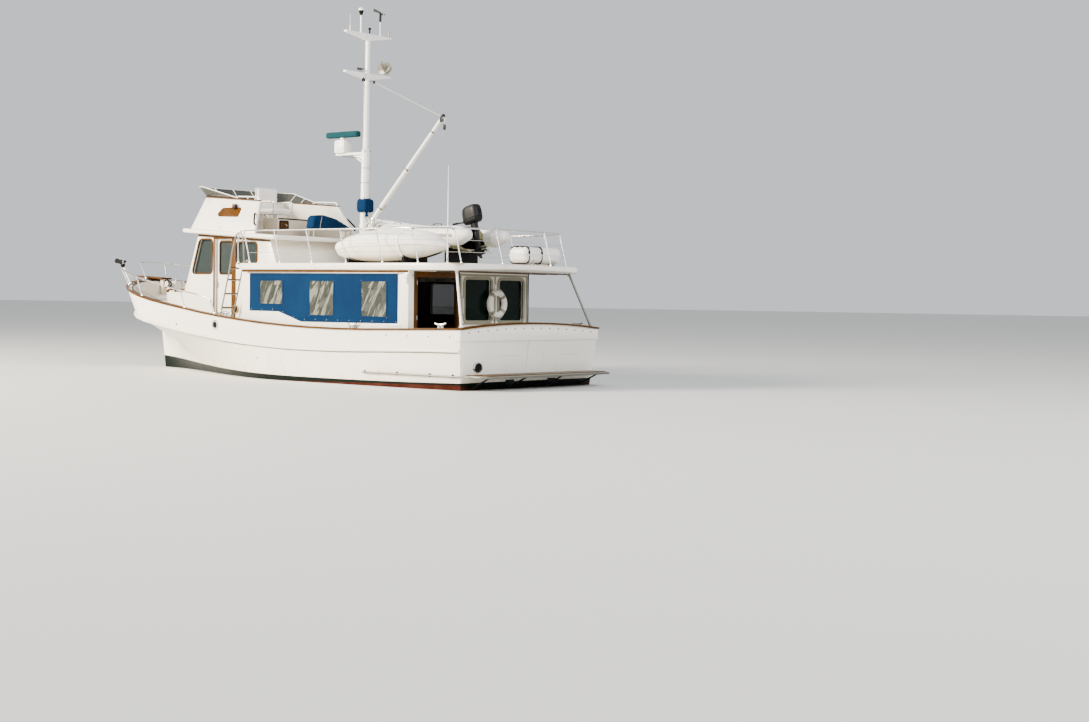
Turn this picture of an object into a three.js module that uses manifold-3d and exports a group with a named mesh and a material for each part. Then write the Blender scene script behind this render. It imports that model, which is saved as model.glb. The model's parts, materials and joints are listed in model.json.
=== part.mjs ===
// A pilothouse trawler yacht: displacement hull, raised pilothouse with flybridge, covered side
// decks, boat deck with its boats, and a mast with a cargo boom. Each piece is one closed body.
// Frame: +X forward, +Y to port, +Z up, millimetres. The origin is on the waterline, amidships.
import * as THREE from "three";
import { RoundedBoxGeometry } from "three/addons/geometries/RoundedBoxGeometry.js";
import { mergeVertices } from "three/addons/utils/BufferGeometryUtils.js";
import Module from "manifold-3d";

const wasm = await Module();
wasm.setup();

// Driving dimensions
const GAP = 0.5;
const SIDES = [1, -1];
const BULWARK = { thick: 90, height: 260 };
const WALL = 45;
const COCKPIT = { x: [-5880, -4690], half: 1860, sole: 350 };
// The saloon reaches the port side; to starboard it leaves a side deck.
const SALOON = { aft: -4700, fore: -130, port: 2050, starboard: -1450, sole: 450, well: [-1360, 1860] };
const PILOTHOUSE = { half: 1450, sole: 880, rear: -480, recess: [-495, 2200], recessHalf: 1350 };
const ROOF = { x: [-620, 2350], half: 1620, thick: 90, underAtZero: 2829, slope: 0.0626 };
const BOAT_DECK = { under: 2180, top: 2310, nose: 300, side: 2100, aft: -5960 };
const MAST = { x: -1500, rake: -70, top: 6960 };
const PROPELLER = { x: -4780, z: -880, radius: 340, blades: 4, shaft: 34 };
const RUDDER = { x: -5300, stock: 28, thick: 44 };
const SHOE = { top: -1250, bottom: -1310 };
const TRANSOM_CROWN = 100;
const CAP = { outer: 30, inner: 110, thick: 35 };

// The level lines of the hull. Each keeps its full half-beam up to fullX, then closes on the stem
// as (1 - t^n)^(1/m), and draws in slightly towards the transom.
const LINES = {
  waterline: { aftX: -5900, aftHalf: 1930, half: 2008, fullX: -1284, stemX: 4797, n: 1.65, m: 0.6 },
  strake: { aftX: -5960, aftHalf: 2020, half: 2149, fullX: 2700, stemX: 5024, n: 1.83, m: 1.0 },
  cap: { aftX: -6000, aftHalf: 2060, half: 2198, fullX: 2429, stemX: 5311, n: 2.05, m: 1.3 },
};
// Heights along the hull, as [x, z] points that one smooth curve passes through.
const HEIGHTS = {
  keel: [[-5850, -260], [-3000, -700], [0, -840], [2500, -800], [4150, -600]],
  waterline: [[-5900, 0], [4797, 0]],
  strake: [[-5960, 750], [-3000, 687], [0, 769], [2500, 1080], [5024, 1500]],
  cap: [[-6000, 1103], [-3000, 1044], [0, 1182], [3000, 1593], [5311, 1985]],
};
const KEEL_ENDS = { aftX: -5850, stemX: 4150 };

// Colours, roughness and metalness
const finish = (color, roughness, metalness = 0) =>
  new THREE.MeshStandardMaterial({ color, roughness, metalness });
const GELCOAT = finish(0xf2eee6, 0.35);
const TEAK = finish(0x8a4a22, 0.5);
const CANVAS = finish(0x0b5c94, 0.9);
const GLASS = finish(0x28332f, 0.1);
const SCREEN = finish(0x4a4a40, 0.15);
const STEEL = finish(0xd5d5d2, 0.25, 0.9);
const PAINTED = finish(0xeeeeea, 0.4);
const BRONZE = finish(0x9c7a3c, 0.35, 0.9);
const BLACK = finish(0x1c1c1e, 0.45);
const VINYL = finish(0xe9e5da, 0.6);
const RUBBER = finish(0xdedbd2, 0.7);
const SHADE = finish(0xc9bfa8, 0.6);

const boat = new THREE.Group();

// Curves
function through(points) {
  return (x) =>
    points.reduce((sum, [xi, zi]) => {
      const others = points.filter(([xj]) => xj !== xi);
      return sum + others.reduce((term, [xj]) => (term * (x - xj)) / (xi - xj), zi);
    }, 0);
}

const height = Object.fromEntries(Object.entries(HEIGHTS).map(([name, points]) => [name, through(points)]));

function halfBeam(name, x) {
  const line = LINES[name];
  const bow = THREE.MathUtils.clamp((x - line.fullX) / (line.stemX - line.fullX), 0, 1);
  const stern = THREE.MathUtils.clamp((line.fullX - x) / (line.fullX - line.aftX), 0, 1);
  return line.half * (1 - bow ** line.n) ** (1 / line.m) - (line.half - line.aftHalf) * stern ** 2;
}

function onLine(name, u) {
  const { aftX, stemX } = LINES[name];
  const x = THREE.MathUtils.lerp(aftX, stemX, u);
  return new THREE.Vector3(x, halfBeam(name, x), height[name](x));
}

const deckZ = (x) => height.cap(x) - BULWARK.height;
const crownZ = (y) => height.cap(LINES.cap.aftX) + TRANSOM_CROWN * (1 - (y / LINES.cap.aftHalf) ** 2);
const roofTop = (x) => ROOF.underAtZero + ROOF.thick + ROOF.slope * x;

// Solids
function bare(geometry) {
  const position = new THREE.BufferGeometry();
  position.setAttribute("position", geometry.getAttribute("position"));
  position.setIndex(geometry.index);
  const merged = mergeVertices(position, 1e-3);
  const index = [...merged.index.array];
  const kept = [];
  for (let i = 0; i < index.length; i += 3) {
    const [a, b, c] = index.slice(i, i + 3);
    if (a !== b && b !== c && c !== a) kept.push(a, b, c);
  }
  merged.setIndex(kept);
  return merged;
}

function solid(geometry) {
  const closed = bare(geometry);
  const make = (triVerts) =>
    new wasm.Manifold(
      new wasm.Mesh({
        numProp: 3,
        vertProperties: new Float32Array(closed.attributes.position.array),
        triVerts: new Uint32Array(triVerts),
      }),
    );
  const made = make(closed.index.array);
  return made.volume() > 0 ? made : make([...closed.index.array].reverse());
}

function geometryOf(manifold) {
  const mesh = manifold.getMesh();
  const positions = new Float32Array(mesh.numVert * 3);
  for (let i = 0; i < mesh.numVert; i++) {
    positions.set(mesh.vertProperties.subarray(i * mesh.numProp, i * mesh.numProp + 3), i * 3);
  }
  const geometry = new THREE.BufferGeometry();
  geometry.setAttribute("position", new THREE.BufferAttribute(positions, 3));
  geometry.setIndex(new THREE.BufferAttribute(mesh.triVerts, 1));
  geometry.computeVertexNormals();
  return geometry;
}

const join = (...solids) => solids.flat().reduce((a, b) => a.add(b));
const cut = (whole, ...tools) => tools.flat().reduce((a, b) => a.subtract(b), whole);

function put(name, manifold, material) {
  const mesh = new THREE.Mesh(geometryOf(manifold), material);
  mesh.name = name;
  boat.add(mesh);
}

function box([x0, x1], [y0, y1], [z0, z1]) {
  const geometry = new THREE.BoxGeometry(x1 - x0, y1 - y0, z1 - z0);
  return solid(geometry.translate((x0 + x1) / 2, (y0 + y1) / 2, (z0 + z1) / 2));
}

function softBox([x0, x1], [y0, y1], [z0, z1], radius) {
  const geometry = new RoundedBoxGeometry(x1 - x0, y1 - y0, z1 - z0, 1, radius);
  return solid(geometry.translate((x0 + x1) / 2, (y0 + y1) / 2, (z0 + z1) / 2));
}

function rod(from, to, radius, { sides = 8, endRadius = radius } = {}) {
  const a = new THREE.Vector3(...from);
  const b = new THREE.Vector3(...to);
  const geometry = new THREE.CylinderGeometry(endRadius, radius, a.distanceTo(b), sides);
  const along = b.clone().sub(a).normalize();
  geometry.applyQuaternion(new THREE.Quaternion().setFromUnitVectors(new THREE.Vector3(0, 1, 0), along));
  return solid(geometry.translate(...a.add(b).multiplyScalar(0.5)));
}

// A round space whose facets stay clear of a turning shaft of the given radius
function bore(from, to, radius, clear = 0.3) {
  const sides = 24;
  return rod(from, to, (radius + clear) / Math.cos(Math.PI / sides), { sides });
}

function ball(centre, radius, [sx, sy, sz] = [1, 1, 1]) {
  const geometry = new THREE.SphereGeometry(radius, 10, 6).scale(sx, sy, sz);
  return solid(geometry.translate(...centre));
}

// A turned piece: profile points are [radius, distance along the axis from the centre].
function turned(profile, centre, axis, sides = 16) {
  const geometry = new THREE.LatheGeometry(profile.map((p) => new THREE.Vector2(...p)), sides);
  const up = new THREE.Vector3(0, 1, 0);
  geometry.applyQuaternion(new THREE.Quaternion().setFromUnitVectors(up, new THREE.Vector3(...axis)));
  return solid(geometry.translate(...centre));
}

// A tube along a smooth curve through the points.
function tube(points, radius, { sides = 6, steps = 16, tension = 0.3 } = {}) {
  const path = points.map((p) => new THREE.Vector3(...p));
  const section = new THREE.Shape();
  section.absarc(0, 0, radius, 0, 2 * Math.PI);
  const geometry = new THREE.ExtrudeGeometry(section, {
    extrudePath: new THREE.CatmullRomCurve3(path, false, "catmullrom", tension),
    steps,
    curveSegments: sides / 2,
    bevelEnabled: false,
  });
  return solid(geometry);
}

function outline(points, radius = 0) {
  const shape = new THREE.Shape();
  const corners = points.map((p) => new THREE.Vector2(...p));
  corners.forEach((corner, i) => {
    const before = corners.at(i - 1);
    const after = corners[(i + 1) % corners.length];
    const back = corner.clone().lerp(before, Math.min(0.45, radius / corner.distanceTo(before)));
    const on = corner.clone().lerp(after, Math.min(0.45, radius / corner.distanceTo(after)));
    if (i === 0) shape.moveTo(back.x, back.y);
    else shape.lineTo(back.x, back.y);
    if (radius > 0) shape.quadraticCurveTo(corner.x, corner.y, on.x, on.y);
  });
  return shape;
}

// An outline in one plane, carried from low to high along the third axis.
const PLANES = {
  xy: (shape, low) => shape.translate(0, 0, low),
  xz: (shape, low, depth) => shape.rotateX(Math.PI / 2).translate(0, low + depth, 0),
  yz: (shape, low) => shape.rotateX(Math.PI / 2).rotateZ(Math.PI / 2).translate(low, 0, 0),
};

function prism(plane, points, [low, high], radius = 0, segments = 3) {
  const shape = points instanceof THREE.Shape ? points : outline(points, radius);
  const depth = high - low;
  const options = { depth, bevelEnabled: false, curveSegments: segments };
  return solid(PLANES[plane](new THREE.ExtrudeGeometry(shape, options), low, depth));
}

// A skin over a row of rings with equal counts of [x, y, z] points, closed at both ends.
function loft(rings) {
  const count = rings[0].length;
  const index = [];
  for (let i = 0; i < rings.length - 1; i++) {
    for (let j = 0; j < count; j++) {
      const a = i * count + j;
      const b = i * count + ((j + 1) % count);
      index.push(a, b, b + count, a, b + count, a + count);
    }
  }
  for (const end of [0, rings.length - 1]) {
    const points = rings[end].map((p) => new THREE.Vector3(...p));
    const size = new THREE.Box3().setFromPoints(points).getSize(new THREE.Vector3()).toArray();
    const thin = size.indexOf(Math.min(...size));
    const face = rings[end].map((p) => new THREE.Vector2(...p.filter((_, axis) => axis !== thin)));
    const forward = THREE.ShapeUtils.isClockWise(face) === (end === 0);
    for (const triangle of THREE.ShapeUtils.triangulateShape(face, [])) {
      const corners = triangle.map((k) => end * count + k);
      index.push(...(forward ? corners : corners.reverse()));
    }
  }
  const geometry = new THREE.BufferGeometry();
  geometry.setAttribute("position", new THREE.Float32BufferAttribute(rings.flat(2), 3));
  geometry.setIndex(index);
  return solid(geometry);
}

// A band along a path: corners are [offset to the right in plan, rise] pairs, or a function of the
// point that returns them. The rise counts from the path, or from the ground below the corner.
function band(path, corners, ground) {
  const rings = path.map((p, i) => {
    const before = path[Math.max(i - 1, 0)];
    const after = path[Math.min(i + 1, path.length - 1)];
    const along = new THREE.Vector2(after.x - before.x, after.y - before.y).normalize();
    const list = typeof corners === "function" ? corners(p) : corners;
    return list.map(([out, rise]) => {
      const x = p.x + out * along.y;
      return [x, p.y - out * along.x, (ground ? ground(x) : p.z) + rise];
    });
  });
  return loft(rings);
}

// Stations along the hull, closer together towards the stem
const STATIONS = Array.from({ length: 24 }, (_, i) => 1 - (1 - i / 23) ** 1.7);

// The path of a level line from the port quarter round the bow to the starboard quarter.
// Walking forward on the port side, outward is to the left, so offsets are negative there.
function roundTheBow(name) {
  const port = STATIONS.map((u) => onLine(name, u));
  const starboard = port.slice(0, -1).reverse().map((p) => new THREE.Vector3(p.x, -p.y, p.z));
  return [...port, ...starboard];
}

const outward = (corners) => corners.map(([out, rise]) => [-out, rise]);

// The top edge of the hull's side, straight between its stations and on past both ends
function capTop(x) {
  const edge = STATIONS.map((u) => onLine("cap", u));
  const found = edge.findIndex((p, i) => i > 0 && p.x >= x);
  const next = found < 0 ? edge.length - 1 : found;
  const [a, b] = [edge[next - 1], edge[next]];
  return THREE.MathUtils.lerp(a.z, b.z, (x - a.x) / (b.x - a.x));
}

// The block below a profile z(x), straight between the given x values
function below(xs, z, y = [-3000, 3000]) {
  const along = [...xs].sort((a, b) => a - b);
  return prism("xz", [[along[0], -3000], [along.at(-1), -3000], ...along.reverse().map((x) => [x, z(x)])], y);
}

// Hull
function hullSection(u) {
  const keelX = THREE.MathUtils.lerp(KEEL_ENDS.aftX, KEEL_ENDS.stemX, u);
  const keel = new THREE.Vector3(keelX, 0, height.keel(keelX));
  const water = onLine("waterline", u);
  const strake = onLine("strake", u);
  const flare = 1 + 0.9 * u ** 2;
  const bilge = [0.3, 0.6, 0.85].map((s) => {
    const angle = (s * Math.PI) / 2;
    const x = THREE.MathUtils.lerp(keel.x, water.x, s);
    return new THREE.Vector3(x, water.y * Math.sin(angle) ** 0.85, keel.z * Math.cos(angle) ** 0.9);
  });
  const topsides = [0.33, 0.67].map((t) => {
    const p = water.clone().lerp(strake, t);
    p.y = THREE.MathUtils.lerp(water.y, strake.y, t ** flare);
    return p;
  });
  const port = [...bilge, water, ...topsides, strake, onLine("cap", u)];
  const starboard = [...port].reverse().map((p) => new THREE.Vector3(p.x, -p.y, p.z));
  return [...starboard, keel, ...port].map((p) => p.toArray());
}

// A space above the deck: each row is a station and how far it reaches to starboard and to port,
// where true stands for the inner face of the bulwark.
function deckSpace(rows) {
  return loft(rows.map(([x, starboard, port]) => {
    const rise = height.cap(x) - height.strake(x);
    const level = THREE.MathUtils.clamp(1 - BULWARK.height / rise, 0, 1);
    const low = THREE.MathUtils.lerp(halfBeam("strake", x), halfBeam("cap", x), level) - BULWARK.thick;
    const high = halfBeam("cap", x) - BULWARK.thick;
    const top = height.cap(x) + 300;
    const edge = (reach, side, bulwark) => (reach === true ? side * bulwark : reach);
    return [[x, edge(starboard, -1, high), top], [x, edge(starboard, -1, low), deckZ(x)],
      [x, edge(port, 1, low), deckZ(x)], [x, edge(port, 1, high), top]];
  }));
}

const FOREDECK_STATIONS = [-120, 1000, 2000, 2600, 3200, 3700, 4100, 4450, 4700, 4850, 4950];
const SIDE_DECK_STATIONS = [-4720, -3000, -1500, -119];

const deckSpaces = () => [
  deckSpace(FOREDECK_STATIONS.map((x) => [x, true, true])),
  deckSpace(SIDE_DECK_STATIONS.map((x) => [x, true, -1340])),
  deckSpace([-494, -119].map((x) => [x, -1345, PILOTHOUSE.half + 10])),
];

const CAP_STATIONS = [-6100, ...STATIONS.map((u) => onLine("cap", u).x), 5500];
const belowDeck = below([-6000, ...SIDE_DECK_STATIONS, ...FOREDECK_STATIONS, 6000],
  (x) => deckZ(THREE.MathUtils.clamp(x, -4720, 4950)) + GAP);
const belowCapRail = below(CAP_STATIONS, (x) => capTop(x) + CAP.thick + GAP);
const belowRoof = below([-3000, 4000], (x) => roofTop(x) + GAP);

// The cambered top of the transom
function crown([aft, fore], lift = 0) {
  const ys = Array.from({ length: 9 }, (_, i) => LINES.cap.aftHalf * (1 - i / 4));
  const ring = (x) => [...ys.map((y) => [x, y, crownZ(y) + lift]), [x, -LINES.cap.aftHalf, 900],
    [x, LINES.cap.aftHalf, 900]];
  return loft([ring(aft), ring(fore)]);
}

function hull() {
  const shell = loft(STATIONS.map(hullSection));
  const keelPlate = prism(
    "xz",
    [[3700, -560], [2900, -1020], [1500, -1240], [-4550, SHOE.bottom], [-4550, -380]],
    [-90, 90],
  );
  const shoe = box([-5560, -4500], [-50, 50], [SHOE.bottom, SHOE.top]);
  const stockBore = bore([RUDDER.x, 0, -600], [RUDDER.x, 0, -150], RUDDER.stock);
  const shaftBore = bore([-4560, 0, PROPELLER.z], [-4490, 0, PROPELLER.z], PROPELLER.shaft);
  const cockpit = box(COCKPIT.x, [-COCKPIT.half, COCKPIT.half], [COCKPIT.sole, 2000]);
  const saloon = box([SALOON.aft, PILOTHOUSE.recess[0] + 1], SALOON.well, [SALOON.sole, 2000]);
  const wheelhouse = box(
    PILOTHOUSE.recess, [-PILOTHOUSE.recessHalf, PILOTHOUSE.recessHalf], [PILOTHOUSE.sole, 2000],
  );
  const whole = join(shell, crown([-5996, -5880]), keelPlate, shoe);
  put("hull", cut(whole, deckSpaces(), cockpit, saloon, wheelhouse, stockBore, shaftBore), GELCOAT);
}

function capRail() {
  const around = band(roundTheBow("cap"), outward([
    [CAP.outer, GAP], [CAP.outer, CAP.thick], [-CAP.inner, CAP.thick], [-CAP.inner, GAP],
  ]), capTop);
  const across = Array.from({ length: 9 }, (_, i) => LINES.cap.aftHalf * (1 - i / 4)).map((y) => {
    const z = crownZ(y);
    return [[-6030, z + GAP], [-5880, z + GAP], [-5880, z + CAP.thick], [-6030, z + CAP.thick]]
      .map(([x, zz]) => [x, y, zz]);
  });
  const houseSide = box([SALOON.aft - 1, SALOON.fore + 1], [0, SALOON.port + GAP], [900, 1400]);
  put("cap_rail", cut(join(around, loft(across)), houseSide, crown([-5999, -5879], GAP)), TEAK);
}

function rubStrake() {
  const corners = outward([[0.8, -60], [45, -50], [45, -14], [0.8, -2]]);
  put("rub_strake", band(roundTheBow("strake"), corners), GELCOAT);
}

// Underwater gear
function rudder() {
  const blade = prism("xz", [[-5130, -1225], [-5640, -1180], [-5720, -460], [-5170, -420]],
    [-RUDDER.thick / 2, RUDDER.thick / 2], 60);
  const stock = rod([RUDDER.x, 0, SHOE.top + GAP], [RUDDER.x, 0, -160], RUDDER.stock, { sides: 12 });
  put("rudder", join(blade, stock), finish(0x6a2d1e, 0.7));
}

function propeller() {
  const { x, z, radius, blades } = PROPELLER;
  const hub = turned([[0, -130], [35, -120], [62, -60], [66, 60], [62, 225], [0, 225]], [x, 0, z], [1, 0, 0], 12);
  const shaft = rod([x, 0, z], [-4500, 0, z], PROPELLER.shaft, { sides: 12 });
  const parts = [hub, shaft];
  for (let i = 0; i < blades; i++) {
    const shape = new THREE.Shape();
    shape.absellipse(0, radius * 0.56, radius * 0.3, radius * 0.44, 0, 2 * Math.PI);
    const blade = new THREE.ExtrudeGeometry(shape, { depth: 14, bevelEnabled: false, curveSegments: 6 });
    blade.translate(0, 0, -7).rotateY(Math.PI / 2 - 0.6).rotateX((2 * Math.PI * i) / blades + Math.PI / 4);
    parts.push(solid(blade.translate(x, 0, z)));
  }
  put("propeller", join(parts), BRONZE);
}

// Foredeck
const TRUNK = { x: [2580, 3950], half: 900, top: 1710 };
const HATCH = { x: [3080, 3640], half: 280, thick: 35, coaming: 40 };

function foredeckTrunk() {
  const [aft, fore] = TRUNK.x;
  const plan = [[aft, -TRUNK.half], [fore, -TRUNK.half * 0.8], [fore, TRUNK.half * 0.8], [aft, TRUNK.half]];
  const body = prism("xy", plan, [900, TRUNK.top], 160);
  const [hatchAft, hatchFore] = HATCH.x;
  const inset = 30;
  const coaming = box([hatchAft + inset, hatchFore - inset], [-HATCH.half + inset, HATCH.half - inset],
    [TRUNK.top - 10, TRUNK.top + HATCH.coaming]);
  const hole = box([hatchAft + 2 * inset, hatchFore - 2 * inset],
    [-HATCH.half + 2 * inset, HATCH.half - 2 * inset], [TRUNK.top - 220, TRUNK.top + 200]);
  put("foredeck_trunk", cut(join(body, coaming), hole, belowDeck), GELCOAT);
}

function foredeckHatch() {
  const low = TRUNK.top + HATCH.coaming + GAP;
  const plan = [[HATCH.x[0], -HATCH.half], [HATCH.x[1], -HATCH.half], [HATCH.x[1], HATCH.half],
    [HATCH.x[0], HATCH.half]];
  put("foredeck_hatch", prism("xy", plan, [low, low + HATCH.thick], 40), GELCOAT);
}

function windlass() {
  const x = 4480;
  const base = box([x - 130, x + 130], [-130, 130], [1200, 1800]);
  const drum = turned([[0, -250], [60, -250], [60, -215], [38, -190], [38, -150], [66, -130], [66, 130],
    [38, 150], [38, 190], [60, 215], [60, 250], [0, 250]], [x, 0, 1890], [0, 1, 0], 14);
  const gear = box([x - 110, x + 110], [-90, 90], [1790, 1960]);
  put("windlass", cut(join(base, drum, gear), belowDeck), PAINTED);
}

function bowPlatform() {
  const slope = 0.05;
  const tip = LINES.cap.stemX + CAP.outer;
  const under = (x) => capTop(tip) + CAP.thick + GAP + slope * (x - tip);
  const plank = prism("xz", [[4780, under(4780)], [5760, under(5760)], [5760, under(5760) + 35],
    [4780, under(4780) + 35]], [-150, 150]);
  const cheeks = SIDES.map((side) =>
    prism("xz", [[5380, under(5380) + 5], [5400, 1975], [5740, 1940], [5800, under(5760) + 5]],
      [side * 62 - 6, side * 62 + 6]));
  const roller = rod([5730, -62, 1985], [5730, 62, 1985], 34, { sides: 12 });
  const post = box([4830, 4930], [-60, 60], [1500, under(4880) + 10]);
  put("bow_platform", join(plank, cheeks, roller, cut(post, belowDeck)), TEAK);
}

const railFoot = (x, y) => [x, y, capTop(x)];

function bowRails() {
  const starboard = [[5380, 300, 2380], [5400, -300, 2375], [4950, -1100, 2300], [4250, -1700, 2200],
    [3000, -2190, 2010], [1900, -2190, 1790], [1050, -2180, 1660], [720, -2150, 1560], [600, -2135, 1240]];
  const starboardPosts = [[[5230, 230], [5385, 280, 2376]], [[5190, -330], [5370, -420, 2366]],
    [[4330, -1400], [4500, -1530, 2236]], [[2950, -2120], [3050, -2185, 2015]],
    [[1500, -2160], [1600, -2190, 1740]]];
  const port = [[4450, 1500, 2190], [3000, 2190, 2010], [1900, 2190, 1790], [1050, 2180, 1660],
    [720, 2150, 1560], [600, 2135, 1240]];
  const portPosts = [[[4330, 1400], [4450, 1500, 2190]], [[2950, 2120], [3050, 2185, 2015]],
    [[1500, 2160], [1600, 2190, 1740]]];
  const rails = { bow_rail_port: [port, portPosts], bow_rail_starboard: [starboard, starboardPosts] };
  for (const [name, [path, posts]] of Object.entries(rails)) {
    const legs = posts.map(([[x, y], top]) => rod(railFoot(x, y), top, 14));
    put(name, cut(join(tube(path, 15, { steps: 26 }), legs), belowCapRail), STEEL);
  }
}

function bowDavit() {
  const head = [4640, 1330, 2290];
  const legs = [rod(railFoot(4480, 1240), head, 16), rod(railFoot(4860, 840), head, 16)];
  const block = softBox([4500, 4860], [1270, 1390], [2250, 2400], 40);
  put("bow_davit", cut(join(legs, block), belowCapRail), PAINTED);
}

// Pilothouse
const wallTop = (x) => ROOF.underAtZero + ROOF.slope * x - GAP;
const frontX = (z) => 1960 - 0.371 * (z - 2860);
const GLAZING = {
  sideFore: [[1500, 2120], [2120, 2120], [1880, 2820], [1490, 2820]],
  sideAft: [[110, 2330], [740, 2330], [740, 2750], [110, 2750]],
};
const FRONT_PANES = [[-1290, -480], [-400, 400], [480, 1290]];
const DOORWAY = { x: [880, 1400], z: [1105, 2825] };

const grown = (points, by) => {
  const centre = points.reduce((sum, p) => sum.map((s, i) => s + p[i] / points.length), [0, 0]);
  return points.map((p) => p.map((value, i) => value + Math.sign(value - centre[i]) * by));
};

function pilothouse() {
  const { half, rear } = PILOTHOUSE;
  const rearTop = -270;
  const profile = [[rear, 500], [frontX(500), 500], [frontX(2945), wallTop(frontX(2945))],
    [rearTop, wallTop(rearTop)], [rear, BOAT_DECK.top]];
  const inside = [[rear + WALL, 0], [frontX(0) - WALL, 0], [frontX(3400) - WALL, 3400],
    [rearTop + WALL + 290, 3400], [rear + WALL, BOAT_DECK.top]];
  const shell = cut(prism("xz", profile, [-half, half]), prism("xz", inside, [WALL - half, half - WALL]));
  const side = Object.values(GLAZING).map((pane) => prism("xz", pane, [-1600, 1600], 70));
  const front = FRONT_PANES.map(([y0, y1]) =>
    prism("yz", [[y0, 2130], [y1, 2130], [y1, 2800], [y0, 2800]], [1700, 2500], 70));
  const doors = box(DOORWAY.x, [-1600, 1600], DOORWAY.z);
  const stairs = box([-600, -380], [-1250, -600], [PILOTHOUSE.sole, 2120]);
  const tracks = SIDES.map((s) => {
    const [near, far] = [s * (half - WALL + 5), s * (half - WALL - 60)].sort((a, b) => a - b);
    return box([250, 1450], [near, far], [1080, 1099]);
  });
  put("pilothouse", cut(join(cut(shell, side, front, doors, stairs), tracks), belowDeck), GELCOAT);
}

function pilothouseGlass() {
  const pane = 6;
  const inner = PILOTHOUSE.half - WALL - GAP;
  for (const s of SIDES) {
    const where = s > 0 ? "port" : "starboard";
    const span = [s * inner, s * (inner - pane)].sort((a, b) => a - b);
    put(`window_fore_${where}`, prism("xz", grown(GLAZING.sideFore, 20), span), GLASS);
    put(`window_aft_${where}`, prism("xz", grown(GLAZING.sideAft, 20), span), GLASS);
  }
  const back = (z) => frontX(z) - WALL - GAP;
  put("windscreen", prism("xz", [[back(2100), 2100], [back(2830), 2830], [back(2830) - pane, 2830],
    [back(2100) - pane, 2100]], [-1320, 1320]), GLASS);
}

function pilothouseDoors() {
  const thick = 38;
  for (const s of SIDES) {
    const outer = s * (PILOTHOUSE.half - WALL - 14);
    const inner = outer - s * thick;
    const span = [outer, inner].sort((a, b) => a - b);
    const leaf = box([850, 1430], span, [1099 + GAP, 2836]);
    const light = [[935, 2110], [1315, 2110], [1315, 2770], [935, 2770]];
    const pane = 3;
    const recess = [[span[0] - 50, span[0] + thick / 2 - pane], [span[0] + thick / 2 + pane, span[1] + 50]];
    const door = cut(leaf, recess.map((reach) => prism("xz", light, reach, 60)));
    put(`pilothouse_door_${s > 0 ? "port" : "starboard"}`, door, GELCOAT);
  }
}

function pilothouseRoof() {
  const [aft, fore] = ROOF.x;
  const { half, thick } = ROOF;
  const plan = [[aft, -half], [fore - 40, -half], [fore, -half * 0.5], [fore, half * 0.5], [fore - 40, half],
    [aft, half]];
  const shape = outline(plan, 120);
  const slab = new THREE.ExtrudeGeometry(shape, { depth: thick, bevelEnabled: false, curveSegments: 3 });
  slab.translate(0, 0, ROOF.underAtZero);
  slab.applyMatrix4(new THREE.Matrix4().makeShear(0, ROOF.slope, 0, 0, 0, 0));
  put("pilothouse_roof", solid(slab), GELCOAT);
}

// Flybridge: a U-shaped path from the port quarter round the front to the starboard quarter
function uPath(aft, half, fore, radius, z) {
  const arc = (cy, from) =>
    [0, 1, 2, 3, 4].map((i) => {
      const angle = from - (i * Math.PI) / 8;
      const x = fore - radius + radius * Math.cos(angle);
      return new THREE.Vector3(x, cy + radius * Math.sin(angle), 0);
    });
  const sides = [0, 0.5].map((t) => THREE.MathUtils.lerp(aft, fore - radius, t));
  const path = [
    ...sides.map((x) => new THREE.Vector3(x, half, 0)),
    ...arc(half - radius, Math.PI / 2),
    ...arc(radius - half, 0),
    ...[...sides].reverse().map((x) => new THREE.Vector3(x, -half, 0)),
  ];
  return path.map((p) => new THREE.Vector3(p.x, p.y, z(p.x)));
}

const FLYBRIDGE = { base: { aft: 130, half: 1500, fore: 2290, radius: 250 },
  rim: { aft: 370, half: 1150, fore: 2130, radius: 120 }, thick: 60 };
const rimZ = (x) => 3585 + 0.0705 * x;

function flybridgePath({ aft, half, fore, radius }, inset, z) {
  return uPath(aft, half - inset, fore - inset, Math.max(radius - inset, 20), z);
}

function flybridgeCoaming() {
  const { base, rim, thick } = FLYBRIDGE;
  const low = (x) => roofTop(x) + GAP;
  const outer = [flybridgePath(base, 0, low), flybridgePath(rim, 0, rimZ)];
  const inner = [flybridgePath(rim, thick, rimZ), flybridgePath(base, thick, low)];
  const rings = outer[0].map((_, i) => [...outer, ...inner].map((path) => path[i].toArray()));
  put("flybridge_coaming", loft(rings), GELCOAT);
}

const SCREEN_SHAPE = { aft: 1060, rise: [35, 220], lean: [20, 170], thick: 8 };

function flybridgeScreen() {
  const { rim, thick } = FLYBRIDGE;
  const { aft, rise, lean } = SCREEN_SHAPE;
  const foot = { ...rim, aft };
  const path = flybridgePath(foot, thick / 2, rimZ);
  const share = (x) => THREE.MathUtils.clamp((x - aft) / (rim.fore - rim.radius - aft), 0, 1);
  const corners = (p) => {
    const up = THREE.MathUtils.lerp(rise[0], rise[1], share(p.x));
    const out = THREE.MathUtils.lerp(lean[0], lean[1], share(p.x));
    return outward([[0, 3 * GAP], [SCREEN_SHAPE.thick, 3 * GAP], [out + SCREEN_SHAPE.thick, up], [out, up]]);
  };
  put("flybridge_screen", band(path, corners), SCREEN);
}

const HELM_Y = 250;

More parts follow.
